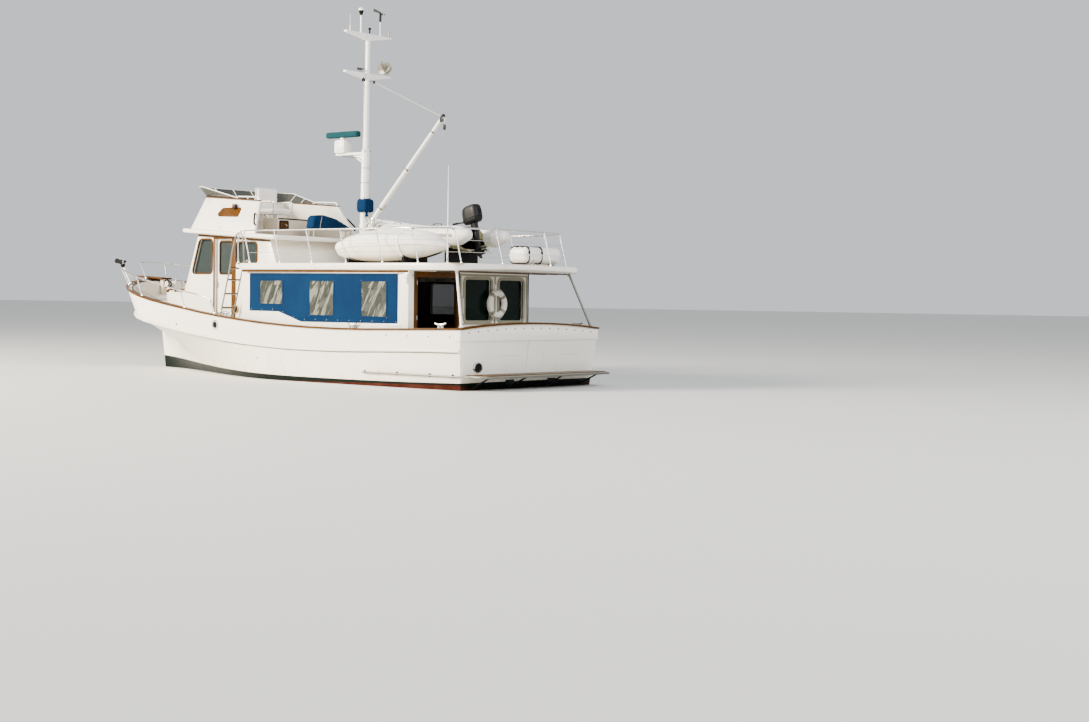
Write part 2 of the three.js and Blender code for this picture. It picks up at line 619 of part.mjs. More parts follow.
function helm() {
  const console_ = prism("xz", [[1420, 2900], [1800, 2900], [1780, 3640], [1560, 3640], [1420, 3500]],
    [HELM_Y - 425, HELM_Y + 425]);
  put("helm_console", cut(console_, belowRoof), GELCOAT);
  const wheel = [1320, HELM_Y, 3430];
  const rim = solid(new THREE.TorusGeometry(190, 13, 6, 20).rotateY(Math.PI / 2).translate(...wheel));
  const spokes = [0, 1, 2].map((i) => {
    const angle = (i * 2 * Math.PI) / 3 + Math.PI / 2;
    return rod(wheel, [1320, HELM_Y + 188 * Math.cos(angle), 3430 + 188 * Math.sin(angle)], 9);
  });
  const shaft = rod([1300, HELM_Y, 3430], [1420 - GAP, HELM_Y, 3430], 26, { sides: 12 });
  put("helm_wheel", join(rim, spokes, shaft), STEEL);
  const arms = SIDES.flatMap((s) => {
    const y = HELM_Y + s * 270;
    return [rod([650, y, 3640], [1140, y, 3640], 16), rod([650, y, 3460], [650, y, 3648], 14)];
  });
  const seat = join(
    softBox([620, 1120], [HELM_Y - 290, HELM_Y + 290], [3400, 3500], 30),
    softBox([1105, 1200], [HELM_Y - 300, HELM_Y + 300], [3420, 3950], 35),
    rod([880, HELM_Y, 2900], [880, HELM_Y, 3420], 55, { sides: 12 }),
    rod([880, HELM_Y, 2900], [880, HELM_Y, 3010], 190, { sides: 16 }),
    arms,
  );
  put("helm_seat", cut(seat, belowRoof), VINYL);
  const bench = box([200, 640], [-1000, 810], [2900, 3280]);
  put("flybridge_locker", cut(bench, belowRoof), SHADE);
}

// The covered gear aft of the flybridge stands on a low rack.
function rack() {
  const ys = [-605, 460];
  const xs = [-515, -365];
  const low = 3040;
  const legs = xs.flatMap((x) => ys.map((y) => rod([x, y, 2700], [x, y, low + 5], 16)));
  const frame = box([xs[0] - 20, xs[1] + 20], [ys[0] - 20, ys[1] + 20], [low, low + 20]);
  put("cover_rack", cut(join(frame, legs), belowRoof), STEEL);
  const cover = prism("yz", [[505, low + 20 + GAP], [485, 3230], [440, 3328], [205, 3352], [-165, 3280], [-460, 3168],
    [-640, 3090], [-650, low + 20 + GAP]], [xs[0] - 35, xs[1] + 35], 30);
  put("locker_cover", cover, CANVAS);
}

// Saloon
const AFT_WINDOWS = [[-290, 480], [-1270, -530]];
const SIDE_WINDOWS = [[-1330, -670, 1500], [-2750, -2090, 1300], [-4150, -3500, 1300]];
const SALOON_DOOR = { y: [680, 1820], top: 2060, track: 458, leaf: 1190, thick: 36 };

function saloon() {
  const { aft, fore, port, starboard, sole, well } = SALOON;
  const top = BOAT_DECK.under - GAP;
  const belowCap = below(CAP_STATIONS, (x) => capTop(x) + GAP, [well[1] - GAP, 3000]);
  const starboardWall = cut(box([aft + GAP, PILOTHOUSE.rear - GAP], [starboard, starboard + WALL], [600, top]),
    belowDeck);
  const portWall = box([aft + GAP, fore], [port - WALL, port], [600, top]);
  const wing = box([fore - WALL, fore], [PILOTHOUSE.half + GAP, port], [capTop(fore) + GAP, top]);
  const bulkhead = cut(box([aft + GAP, aft + WALL], [starboard, port], [sole + GAP, top]),
    box([aft - 10, aft + 100], [-3000, well[0] + GAP], [0, deckZ(aft) + GAP]));
  const doorway = box([aft - 50, aft + 100], SALOON_DOOR.y, [0, SALOON_DOOR.top]);
  const aftLights = AFT_WINDOWS.map(([y0, y1]) =>
    prism("yz", [[y0, 1240], [y1, 1240], [y1, 2040], [y0, 2040]], [aft - 50, aft + 100], 70));
  const sideLights = SIDE_WINDOWS.map(([x0, x1, low]) =>
    prism("xz", [[x0, low], [x1, low], [x1, 1960], [x0, 1960]], [-3000, 3000], 70));
  const { track } = SALOON_DOOR;
  const runner = box([aft + WALL - 5, aft + WALL + 60], [-560, well[1] - 10], [sole + GAP, track]);
  const walls = join(starboardWall, portWall, wing, bulkhead);
  put("saloon", join(cut(walls, belowCap, doorway, aftLights, sideLights), runner), GELCOAT);
}

function saloonGlass() {
  const pane = 6;
  const { aft, port, starboard } = SALOON;
  const faces = { port: port - WALL - GAP - pane, starboard: starboard + WALL + GAP };
  for (const [where, y] of Object.entries(faces)) {
    put(`saloon_windows_${where}`, box([-4200, -620], [y, y + pane], [1260, 2000]), GLASS);
  }
  const face = aft + WALL + GAP;
  put("saloon_windows_aft", box([face, face + pane], [-1310, 520], [1200, 2080]), GLASS);
}

function saloonDoor() {
  const { y, top, track, leaf, thick } = SALOON_DOOR;
  const x = SALOON.aft + WALL + 14;
  const across = [y[0] - 20 - leaf, y[0] - 20];
  const panel = box([x, x + thick], across, [track + GAP, top + 40]);
  const light = [[across[0] + 110, 1360], [across[1] - 110, 1360], [across[1] - 110, 1940],
    [across[0] + 110, 1940]];
  const recesses = [[x - 20, x + thick / 2 - 3], [x + thick / 2 + 3, x + thick + 20]].map((span) =>
    prism("yz", light, span, 60));
  put("saloon_door", cut(panel, recesses), TEAK);
}

// The canvas over the port windows hangs just outside the wall, with three clear panes.
const CANVAS_EDGE = [[-370, 2110], [-4440, 2110], [-4440, 1185], [-1850, 1170], [-1210, 1360], [-370, 1360]];
const CANVAS_PANES = [[-1330, -670, 1500], [-2750, -2090, 1300], [-4150, -3500, 1300]];

function sideCanvas() {
  const face = SALOON.port + GAP;
  const sheet = prism("xz", CANVAS_EDGE, [face, face + 8], 40);
  const panes = CANVAS_PANES.map(([x0, x1, low]) =>
    prism("xz", [[x0, low], [x1, low], [x1, 1970], [x0, 1970]], [face - 10, face + 20], 60));
  put("side_canvas", cut(sheet, panes), CANVAS);
}

// Boat deck
const belowBoatDeck = box([-7000, 2000], [-3000, 3000], [0, BOAT_DECK.top + GAP]);

function boatDeck() {
  const { nose, side, aft, under, top } = BOAT_DECK;
  const notch = PILOTHOUSE.half + GAP;
  const shape = new THREE.Shape();
  shape.moveTo(PILOTHOUSE.rear - GAP, notch);
  shape.lineTo(nose, notch);
  shape.quadraticCurveTo(nose - 60, side, -420, side + 10);
  shape.lineTo(-4500, side - 45);
  shape.quadraticCurveTo(-5880, side - 20, -5880, 1300);
  shape.quadraticCurveTo(aft, 650, aft, 0);
  shape.quadraticCurveTo(aft, -650, -5880, -1300);
  shape.quadraticCurveTo(-5880, 20 - side, -4500, 45 - side);
  shape.lineTo(-420, -side - 10);
  shape.quadraticCurveTo(nose - 60, -side, nose, -notch);
  shape.lineTo(PILOTHOUSE.rear - GAP, -notch);
  put("boat_deck", prism("xy", shape, [under, top], 0, 7), GELCOAT);
}

function cockpitPosts() {
  const over = box([-7000, -4000], [-3000, 3000], [BOAT_DECK.under - GAP, 3000]);
  for (const s of SIDES) {
    const post = rod([-5958, s * 1967, 1000], [-5545, s * 1670, 2300], 22, { sides: 10 });
    const foot = crown([-6100, -5800], CAP.thick + GAP);
    put(`cockpit_post_${s > 0 ? "port" : "starboard"}`, cut(post, over, foot), PAINTED);
  }
}

function ringBuoy() {
  const ring = new THREE.TorusGeometry(215, 60, 8, 20).rotateY(Math.PI / 2);
  const x = SALOON.aft - 61;
  const hook = box([x - 60, SALOON.aft], [-435, -385], [1790, 1960]);
  put("ring_buoy", join(solid(ring.translate(x, -410, 1567)), hook), VINYL);
}

const RAIL = { top: 2960, lean: 180, inset: 75 };
const RAIL_SIDE_X = [-310, -1180, -2080, -3000, -3950, -4850];
const RAIL_AFT = [[-5560, 1560], [-5840, 720], [-5840, -720], [-5560, -1560]];

function deckRail() {
  const sideY = (x) => BOAT_DECK.side - RAIL.inset - 20 + 0.011 * (x + 420);
  const port = RAIL_SIDE_X.map((x) => [x, sideY(x)]);
  const feet = [...port, ...RAIL_AFT, ...[...port].reverse().map(([x, y]) => [x, -y])];
  const tops = feet.map(([x, y]) => [x + RAIL.lean, y, RAIL.top]);
  const below = BOAT_DECK.top - 20;
  const portEnd = [[40, 2000, below], [60, 2000, 2700], [10, 2000, 2910]];
  const starboardEnd = [[160, -1800, 2890], [190, -1700, 2700], [170, -1660, below]];
  const rail = tube([...portEnd, ...tops, ...starboardEnd], 15, { steps: 56, tension: 0.35 });
  const posts = feet.map(([x, y], i) => rod([x, y, below], tops[i], 12, { sides: 6 }));
  put("boat_deck_rail", cut(join(rail, posts), belowBoatDeck), STEEL);
}

// The ladder's outer rail rises past the boat deck as a handhold; the inner one hooks over its edge.
function ladder() {
  const foot = [760, deckZ(760) - 40];
  const knee = [410, 2230];
  const low = BOAT_DECK.top - 20;
  const hoops = {
    1560: [[340, 2350], [250, 2375], [215, low]],
    1900: [[330, 2600], [210, 2890], [70, 2900], [10, 2700], [-10, low]],
  };
  const rails = Object.entries(hoops).map(([side, hoop]) => {
    const y = Number(side);
    return join(
      rod([foot[0], y, foot[1]], [knee[0], y, knee[1]], 16),
      tube([knee, ...hoop].map(([x, z]) => [x, y, z]), 15, { steps: 14 }),
      ball([knee[0], y, knee[1]], 17),
    );
  });
  const rungs = [0.14, 0.36, 0.58, 0.8, 0.98].map((t) => {
    const [x, z] = [0, 1].map((k) => THREE.MathUtils.lerp(foot[k], knee[k], t));
    return rod([x, 1560, z], [x, 1900, z], 13);
  });
  const overDeck = box([-600, 300], [1400, 2100], [2000, BOAT_DECK.top + GAP]);
  put("boat_deck_ladder", cut(join(rails, rungs), belowDeck, overDeck), STEEL);
}

// Mast, radar and boom
const mastX = (z) => MAST.x + (MAST.rake * (z - BOAT_DECK.top)) / (MAST.top - BOAT_DECK.top);
const SPREADER = { tops: [6220, 7020], half: 650, thick: 80, tip: 30, depth: 140 };

const pole = (from, to, r0, r1) =>
  rod([mastX(from), 0, from], [mastX(to), 0, to], r0, { sides: 16, endRadius: r1 });
const lowerPole = (grow) => pole(BOAT_DECK.top - 20, 4640, 90 + grow, 80 + grow);

// A level top, and an underside that rises from the mast to the tips
function spreader(top) {
  const { half, thick, tip, depth } = SPREADER;
  const x = mastX(top);
  return prism("yz", [[0, top - depth], [half, top - tip], [half, top], [-half, top], [-half, top - tip]],
    [x - thick / 2, x + thick / 2]);
}

function mast() {
  const parts = [lowerPole(0), pole(4600, MAST.top, 62, 45), ...SPREADER.tops.map(spreader),
    rod([MAST.x, 0, BOAT_DECK.top + GAP], [MAST.x, 0, BOAT_DECK.top + 30], 170, { sides: 16 })];
  put("mast", cut(join(parts), belowBoatDeck), PAINTED);
}

function mastheadGear() {
  const [lower, upper] = SPREADER.tops;
  const stand = (y, top, tall, head) => {
    const x = mastX(top);
    return join(rod([x, y, top + GAP], [x, y, top + tall], 16), head([x, y, top + tall]));
  };
  const cap = [[0, -10], [25, -5], [50, 75], [56, 90], [56, 110], [38, 140], [0, 150]];
  put("satellite_dome", stand(210, upper, 360, (at) => turned(cap, at, [0, 0, 1], 16)), VINYL);
  put("masthead_light", stand(-40, upper, 110, (at) => ball(at, 32)), GLASS);
  put("radar_reflector", stand(-500, lower, 50, ([x, y, z]) => ball([x, y, z + 115], 150)), STEEL);
}

const RADAR = { x: -880, z: 4990, half: 460 };

function radar() {
  const back = mastX(4620) + 40;
  const arm = box([back, RADAR.x + 150], [-60, 60], [4580, 4625]);
  const gusset = prism("xz", [[back, 4370], [back + 370, 4600], [back, 4600]], [-8, 8]);
  const pedestal = softBox([RADAR.x - 150, RADAR.x + 150], [-130, 130], [4615, 4900], 50);
  const neck = rod([RADAR.x, 0, 4880], [RADAR.x, 0, 4940], 60, { sides: 16 });
  put("radar_pedestal", cut(join(arm, gusset, pedestal, neck), lowerPole(GAP)), PAINTED);
  const bar = softBox([RADAR.x - RADAR.half, RADAR.x + RADAR.half], [-70, 70], [4940 + GAP, 5070], 40);
  put("radar_scanner", bar, finish(0x3b7280, 0.8));
}

const BOOM = { pivot: [-1750, 0, 3240], tip: [-3640, 0, 5230], pin: 9, cheek: 28, boss: 26 };

function boom() {
  const { pin, cheek, boss } = BOOM;
  const [px, , pz] = BOOM.pivot;
  const step = join(box([px + 10, mastX(pz)], [-35, 35], [pz - 90, pz - 60]),
    rod([px, 0, pz - 95], [px, 0, pz - 55], 42, { sides: 12 }));
  put("gooseneck_bracket", cut(step, lowerPole(GAP)), STEEL);
  const cheeks = SIDES.map((s) => {
    const span = [s * cheek, s * (cheek + 12)].sort((a, b) => a - b);
    return box([px - 28, px + 28], span, [pz - 50, pz + 34]);
  });
  const fork = join(
    rod([px, 0, pz - 55 + GAP], [px, 0, pz - 38], 42, { sides: 12 }),
    cheeks,
    rod([px, -cheek - 12, pz], [px, cheek + 12, pz], pin, { sides: 12 }),
  );
  put("gooseneck", fork, STEEL);
  const [tx, , tz] = BOOM.tip;
  const tip = new THREE.Vector3(tx - px, 0, tz - pz).normalize();
  const at = (d) => [px + tip.x * d, 0, pz + tip.z * d];
  const spar = rod(at(75), [tx, 0, tz], 48, { sides: 12, endRadius: 28 });
  const eye = rod([px, -cheek + 0.4, pz], [px, cheek - 0.4, pz], boss, { sides: 12 });
  const tang = rod(at(0), at(90), 22);
  const sheave = rod([tx, -22, tz - 60], [tx, 22, tz - 60], 60, { sides: 12 });
  const pinHole = bore([px, -cheek - 20, pz], [px, cheek + 20, pz], pin);
  put("boom", cut(join(spar, eye, tang, sheave), pinHole), PAINTED);
}

function winch() {
  const x = mastX(3540);
  const cover = softBox([x - 160, x + 115], [-135, 135], [3390, 3670], 60);
  put("winch_cover", cut(cover, lowerPole(GAP)), CANVAS);
}

// Boats on the boat deck
const SKIFF = { y: 1300, half: 550 };
// Along the covered skiff, from the bow: x, the underside, the ridge of the cover and the share of the beam
const SKIFF_LINES = [[-2230, 2480, 2720, 0.3], [-2300, 2440, 2745, 0.5], [-2500, 2395, 2800, 0.72],
  [-2840, 2358, 2900, 0.92], [-3150, 2345, 2955, 1], [-3450, 2342, 2968, 1], [-4000, 2375, 2955, 0.93],
  [-4400, 2435, 2930, 0.75], [-4600, 2475, 2880, 0.58], [-4800, 2530, 2780, 0.36], [-4970, 2600, 2675, 0.1]];

function skiff() {
  const { y, half } = SKIFF;
  const rings = SKIFF_LINES.map(([x, low, high, share]) => {
    const wide = half * share;
    const at = (t) => low + t * (high - low);
    return [[x, y, low], [x, y + wide * 0.72, at(0.13)], [x, y + wide, at(0.62)], [x, y + wide * 0.86, at(0.82)],
      [x, y, high], [x, y - wide * 0.86, at(0.82)], [x, y - wide, at(0.62)], [x, y - wide * 0.72, at(0.13)]];
  });
  return loft(rings);
}

const TENDER = { y: -825, tube: 195, half: 575, z: 2905, aft: -3870, fore: -870, transom: [-3690, -3650],
  sill: 3080 };

function tender() {
  const { y, tube: r, aft, fore, half, z, transom, sill } = TENDER;
  const side = [[aft, half, 0], [-2800, half, 20], [-1800, half - 70, 95], [-1180, half * 0.52, 180]];
  const path = [...side, [fore, 0, 225], ...[...side].reverse().map(([x, out, rise]) => [x, -out, rise])]
    .map(([x, out, rise]) => [x, y + out, z + rise]);
  const ring = tube(path, r, { sides: 12, steps: 32, tension: 0.5 });
  const tails = SIDES.map((s) => rod([aft + 5, y + s * half, z], [aft - 330, y + s * half, z + 25], r,
    { sides: 12, endRadius: 60 }));
  const bottom = loft([[transom[0], 0.9, 0], [-2700, 0.9, 0], [-1800, 0.75, 120], [-1350, 0.35, 230]]
    .map(([x, share, lift]) => {
      const wide = half * share;
      return [[x, y, z - 300 + lift], [x, y + wide, z - 90 + lift / 2], [x, y + wide, z - 40 + lift / 2],
        [x, y - wide, z - 40 + lift / 2], [x, y - wide, z - 90 + lift / 2]];
    }));
  const board = box(transom, [y - half, y + half], [z - 260, sill]);
  return join(ring, tails, bottom, board);
}

function chocks(boats) {
  const bar = (x, y, half, high) => box([x - 30, x + 30], [y - half, y + half], [BOAT_DECK.top + GAP, high]);
  const runner = (x0, x1, y) => box([x0, x1], [y - 40, y + 40], [BOAT_DECK.top + GAP, BOAT_DECK.top + 30]);
  const skiffChocks = join(bar(-2700, SKIFF.y, 330, 2450), bar(-4150, SKIFF.y, 330, 2500),
    runner(-4200, -2650, SKIFF.y));
  const tenderChocks = join(bar(-2000, TENDER.y, 440, 2760), bar(-3450, TENDER.y, 480, 2680),
    runner(-3500, -1950, TENDER.y));
  const lift = (manifold) => solid(geometryOf(manifold).translate(0, 0, -GAP));
  put("skiff_chocks", cut(skiffChocks, boats[0], lift(boats[0])), BLACK);
  put("tender_chocks", cut(tenderChocks, boats[1], lift(boats[1])), BLACK);
}

// The outboard hangs tilted on the tender's transom. Its motor is drawn upright about the tilt pin,
// with x and z counted from the pin, and then turned with its head forward.
const OUTBOARD = { pin: [-3800, TENDER.y, 3060], tilt: 0.225 };

function outboardMotor() {
  const cowl = loft([[130, 0.72], [195, 1], [340, 1], [430, 0.82], [480, 0.45]].map(([z, share]) =>
    [[-200, 60], [-150, 120], [120, 130], [230, 70], [230, -70], [120, -130], [-150, -120], [-200, -60]]
      .map(([x, y]) => [x * share, y * share, z - (x > 150 ? 30 : 0)])));
  const leg = prism("xz", [[-95, 160], [85, 160], [60, -500], [-75, -500]], [-42, 42]);
  const plate = softBox([-240, 60], [-80, 80], [-410, -392], 6);
  const torpedo = rod([-230, 0, -500], [90, 0, -500], 50, { sides: 12, endRadius: 24 });
  const skeg = prism("xz", [[-70, -510], [55, -510], [-30, -620], [-80, -620]], [-8, 8]);
  const screw = rod([-275, 0, -500], [-228, 0, -500], 110, { sides: 12 });
  return join(cowl, leg, plate, torpedo, skeg, screw);
}

function outboard() {
  const [x, y, z] = OUTBOARD.pin;
  const [, inner] = TENDER.transom;
  const motor = solid(geometryOf(outboardMotor()).rotateY(OUTBOARD.tilt).translate(x, y, z));
  const clamp = box([x, inner - 20], [y - 110, y + 110], [2880, TENDER.sill - 30]);
  const hook = box([x, inner + 40], [y - 110, y + 110], [TENDER.sill - 35, TENDER.sill + 35]);
  const screws = box([inner - 20, inner + 40], [y - 100, y + 100], [2940, TENDER.sill]);
  const [aft, fore] = TENDER.transom;
  const slot = box([aft - GAP, fore + GAP], [y - 300, y + 300], [2500, TENDER.sill + GAP]);
  put("outboard", cut(join(motor, clamp, hook, screws), slot), BLACK);
}

function lifeRaft() {
  const canister = softBox([-5500, -5040], [-1500, -380], [BOAT_DECK.top + 60, BOAT_DECK.top + 360], 110);
  const cradle = [-1270, -610].map((y) =>
    box([-5480, -5060], [y - 25, y + 25], [BOAT_DECK.top + GAP, BOAT_DECK.top + 130]));
  put("life_raft", join(canister, cradle), PAINTED);
}

// Stern
function swimPlatform() {
  const half = 1930;
  const fore = -5922.5;
  const slab = prism("xy", [[fore, -half], [fore, half], [-6440, half - 60], [-6480, 0], [-6440, 60 - half]],
    [235, 275], 90);
  const square = box([-5990, fore], [-half, half], [235, 275]);
  const struts = [-1620, -540, 540, 1620].map((y) => join(
    rod([-6330, y, 245], [-5925, y, 50], 18, { sides: 6 }),
    box([-5930, -5907], [y - 35, y + 35], [20, 80]),
  ));
  put("swim_platform", join(slab, square, struts), PAINTED);
}

hull();
capRail();
rubStrake();
rudder();
propeller();
foredeckTrunk();
foredeckHatch();
windlass();
bowPlatform();
bowRails();
bowDavit();
pilothouse();
pilothouseGlass();
pilothouseDoors();
pilothouseRoof();
flybridgeCoaming();
flybridgeScreen();
helm();
rack();
saloon();
saloonGlass();
saloonDoor();
sideCanvas();
boatDeck();
cockpitPosts();
ringBuoy();
deckRail();
ladder();
mast();
mastheadGear();
radar();
boom();
winch();
const boats = [skiff(), tender()];
put("skiff", boats[0], PAINTED);
put("tender", boats[1], RUBBER);
chocks(boats);
outboard();
lifeRaft();
swimPlatform();

export default boat;
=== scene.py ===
# The looks of a trawler yacht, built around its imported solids. Metres, in the boat's own frame:
# +X forward, +Y to port, +Z up, with the origin on the waterline.
import json
import math

import bmesh
import bpy
from mathutils import Matrix, Vector, noise
from mathutils.bvhtree import BVHTree

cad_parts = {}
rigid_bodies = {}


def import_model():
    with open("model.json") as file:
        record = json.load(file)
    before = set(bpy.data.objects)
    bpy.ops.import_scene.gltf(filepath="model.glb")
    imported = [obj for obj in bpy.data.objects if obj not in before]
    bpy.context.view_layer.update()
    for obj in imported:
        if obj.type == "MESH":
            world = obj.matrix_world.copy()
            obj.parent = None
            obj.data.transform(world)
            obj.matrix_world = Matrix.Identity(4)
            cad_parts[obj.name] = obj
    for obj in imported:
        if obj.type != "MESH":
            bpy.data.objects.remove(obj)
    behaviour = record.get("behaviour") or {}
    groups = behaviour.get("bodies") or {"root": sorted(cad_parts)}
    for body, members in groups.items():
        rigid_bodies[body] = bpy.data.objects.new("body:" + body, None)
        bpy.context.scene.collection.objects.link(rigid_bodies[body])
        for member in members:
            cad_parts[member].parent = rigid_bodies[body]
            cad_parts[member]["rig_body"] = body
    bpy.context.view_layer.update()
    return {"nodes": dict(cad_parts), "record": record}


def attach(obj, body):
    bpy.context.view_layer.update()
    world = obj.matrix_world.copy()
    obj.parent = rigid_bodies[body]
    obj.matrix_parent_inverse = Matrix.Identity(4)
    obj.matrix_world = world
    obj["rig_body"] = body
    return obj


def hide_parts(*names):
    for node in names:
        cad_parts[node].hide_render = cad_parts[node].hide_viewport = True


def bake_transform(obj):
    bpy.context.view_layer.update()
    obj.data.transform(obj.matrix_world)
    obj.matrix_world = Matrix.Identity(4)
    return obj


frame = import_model()

SIDES = (1, -1)
WATERLINE = 0.0


# Shader arithmetic
class Wire:
    """One output of a finish's nodes. Arithmetic on it adds Math nodes."""

    def __init__(self, finish, socket):
        self.finish, self.socket = finish, socket

    def math(self, operation, *others):
        return self.finish.node("ShaderNodeMath", {"operation": operation},
                                dict(enumerate((self, *others))))

    def __add__(self, other):
        return self.math("ADD", other)

    def __sub__(self, other):
        return self.math("SUBTRACT", other)

    def __mul__(self, other):
        return self.math("MULTIPLY", other)

    def __rsub__(self, other):
        return self * -1 + other

    __radd__, __rmul__ = __add__, __mul__

    def step(self, low, high):
        """0 below low, 1 above high, smooth between."""
        return self.finish.node("ShaderNodeMapRange", {"interpolation_type": "SMOOTHSTEP"},
                                {"Value": self, "From Min": low, "From Max": high})


class Finish:
    """A procedural material on the boat's own coordinates."""

    def __init__(self, name, colour, roughness, metallic=0.0, **constants):
        self.material = bpy.data.materials.new(name)
        self.material.use_nodes = True
        self.tree = self.material.node_tree
        self.shader = self.tree.nodes["Principled BSDF"]
        self.where = self.node("ShaderNodeTexCoord", output="Object")
        self.slot = None
        self.set("Base Color", (*colour, 1))
        self.set("Roughness", roughness)
        self.set("Metallic", metallic)
        for name, value in constants.items():
            self.set(name.replace("_", " ").title().replace("Ior", "IOR"), value)

    def node(self, kind, settings=None, inputs=None, output=0):
        made = self.tree.nodes.new(kind)
        for key, value in (settings or {}).items():
            if key != "stops":
                setattr(made, key, value)
                continue
            (first, *between, last), elements = value, made.color_ramp.elements
            for element, (position, colour) in zip(elements, (first, last)):
                element.position, element.color = position, (*colour, 1)
            for position, colour in between:
                elements.new(position).color = (*colour, 1)
        for key, value in (inputs or {}).items():
            if isinstance(value, Wire):
                self.tree.links.new(value.socket, made.inputs[key])
            else:
                made.inputs[key].default_value = value
        return Wire(self, made.outputs[output])

    def set(self, name, value):
        if isinstance(value, Wire):
            self.tree.links.new(value.socket, self.shader.inputs[name])
        else:
            self.shader.inputs[name].default_value = value

    def axis(self, letter):
        return self.node("ShaderNodeSeparateXYZ", inputs={0: self.where}, output="XYZ".index(letter))

    def noise(self, scale, detail=3.0, stretch=(1, 1, 1), roughness=0.5):
        at = self.node("ShaderNodeMapping", inputs={"Vector": self.where, "Scale": stretch})
        inputs = {"Vector": at, "Scale": scale, "Detail": detail, "Roughness": roughness}
        return self.node("ShaderNodeTexNoise", inputs=inputs)

    def mix(self, share, under, over):
        solid = {key: value if isinstance(value, Wire) else (*value, 1)
                 for key, value in ((6, under), (7, over))}
        return self.node("ShaderNodeMix", {"data_type": "RGBA"}, {0: share, **solid}, output=2)

    def bump(self, height, strength, distance=0.002):
        inputs = {"Strength": strength, "Distance": distance, "Height": height}
        self.set("Normal", self.node("ShaderNodeBump", inputs=inputs))


def tinted(colour, share):
    return tuple(min(1.0, channel * share) for channel in colour)


# Finishes
def gelcoat(name="gelcoat", colour=(0.88, 0.83, 0.745), grime=0.5):
    made = Finish(name, colour, 0.3, coat_weight=0.25, coat_roughness=0.12)
    patches = made.noise(0.9, 4)
    streaks = made.noise(5, 5, (1, 1, 0.12)).step(0.56, 0.8) * grime
    chalk = made.mix(patches.step(0.3, 0.75) * 0.6, colour, tinted(colour, 0.9))
    made.set("Base Color", made.mix(streaks, chalk, (0.52, 0.43, 0.32)))
    made.set("Roughness", made.noise(7, 3) * 0.25 + 0.24)
    made.bump(made.noise(260, 2) + made.noise(3, 2) * 3, 0.05)
    return made


def hull_paint():
    """Enamel on the topsides, a boot stripe, and weathered paint on the bottom and under the keel; on the
    transom the stripe's black runs on down the face as painted shade.
    """
    topside, black, bottom = (0.91, 0.855, 0.76), (0.003, 0.006, 0.004), (0.04, 0.007, 0.003)
    made = Finish("hull_paint", topside, 0.3, coat_weight=0.3, coat_roughness=0.1, specular_ior_level=0.06)
    x, y, z = (made.axis(letter) for letter in "XYZ")
    patches = made.noise(0.7, 4, (0.6, 1, 1.4))
    streaks = made.noise(7, 5, (1, 1, 0.1)).step(0.55, 0.82) * z.step(1.15, 0.2) * 0.4
    scum = (z - 0.16 - x * 0.016).step(0.16, 0.0) * made.noise(9, 4, (1, 1, 0.5)).step(0.35, 0.7) * 0.35
    side = made.mix(patches.step(0.3, 0.75) * 0.5, topside, tinted(topside, 0.9))
    side = made.mix(streaks + scum, side, (0.5, 0.38, 0.24))
    stripe_top = x * x * 0.00317 + x * 0.01583 + 0.119
    wobble = (made.noise(14, 2) - 0.5) * 0.006
    below = (stripe_top - z + wobble).step(-0.002, 0.002)
    # Painted shade: the bottom paint shows only ahead of the transom; the transom's face stays black below
    # the stripe.
    ahead = (x + y.math("ABSOLUTE") * 0.02).step(-5.87, -5.86)
    under = (x * -0.02 - 0.02 - z + wobble).step(-0.002, 0.002) * ahead
    weathered = made.mix(made.noise(5, 5).step(0.35, 0.7), bottom, (0.065, 0.018, 0.009))
    made.set("Base Color", made.mix(under, made.mix(below, side, black), weathered))
    made.set("Roughness", made.noise(6, 3) * 0.2 + 0.22 + under * 0.45)
    made.set("Coat Weight", (1 - below) * 0.3)
    made.bump(made.noise(220, 2) + made.noise(2.2, 2) * 4, 0.05)
    return made


def teak(name="teak", along="X", colour=(0.074, 0.029, 0.004)):
    stretch = {"X": (0.06, 1, 1), "Y": (1, 0.06, 1), "Z": (1, 1, 0.06)}[along]
    made = Finish(name, colour, 0.4, coat_weight=0.04, coat_roughness=0.2, specular_ior_level=0.06)
    grain = made.noise(90, 6, stretch, 0.62)
    boards = made.noise(2.2, 2, tuple(0.25 if part < 1 else 1 for part in stretch))
    worn = made.noise(3, 5).step(0.5, 0.78)
    wood = made.mix(grain.step(0.32, 0.7), tinted(colour, 1.45), tinted(colour, 0.45))
    wood = made.mix(boards.step(0.35, 0.65) * 0.35, wood, tinted(colour, 0.7))
    made.set("Base Color", made.mix(worn * 0.3, wood, (0.11, 0.055, 0.02)))
    made.set("Roughness", worn * 0.3 + grain * 0.12 + 0.22)
    made.bump(grain, 0.12)
    return made


def cloth(name, colour, faded, weave=420, sheen=0.25):
    made = Finish(name, colour, 0.85, sheen_weight=sheen, sheen_roughness=0.5, specular_ior_level=0.08)
    x, y, z = (made.axis(letter) for letter in "XYZ")
    fade = made.noise(1.6, 4).step(0.35, 0.75)
    creases = made.noise(7, 4, (1, 1, 0.5))
    dye = made.mix(fade * 0.5, colour, faded)
    # Painted shade: the dye is darkened along the creases.
    made.set("Base Color", made.mix(creases.step(0.55, 0.9) * 0.35, dye, tinted(colour, 0.55)))
    made.set("Roughness", made.noise(30, 3) * 0.2 + 0.72)
    warp = (x + y) * weave
    weft = z * weave
    threads = warp.math("SINE") * weft.math("SINE")
    made.bump(threads * 0.4 + creases * 3, 0.25)
    return made


def painted(name, colour, roughness=0.35, chips=(0.35, 0.33, 0.3)):
    made = Finish(name, colour, roughness, coat_weight=0.15)
    worn = made.noise(11, 6, roughness=0.7).step(0.66, 0.74)
    shade = made.mix(made.noise(1.7, 4, (1, 1, 0.4)).step(0.3, 0.8) * 0.5, colour, tinted(colour, 0.84))
    made.set("Base Color", made.mix(worn * 0.6, shade, chips))
    made.set("Roughness", made.noise(14, 3) * 0.25 + roughness - 0.08)
    made.bump(made.noise(180, 2) - worn * 2, 0.08)
    return made


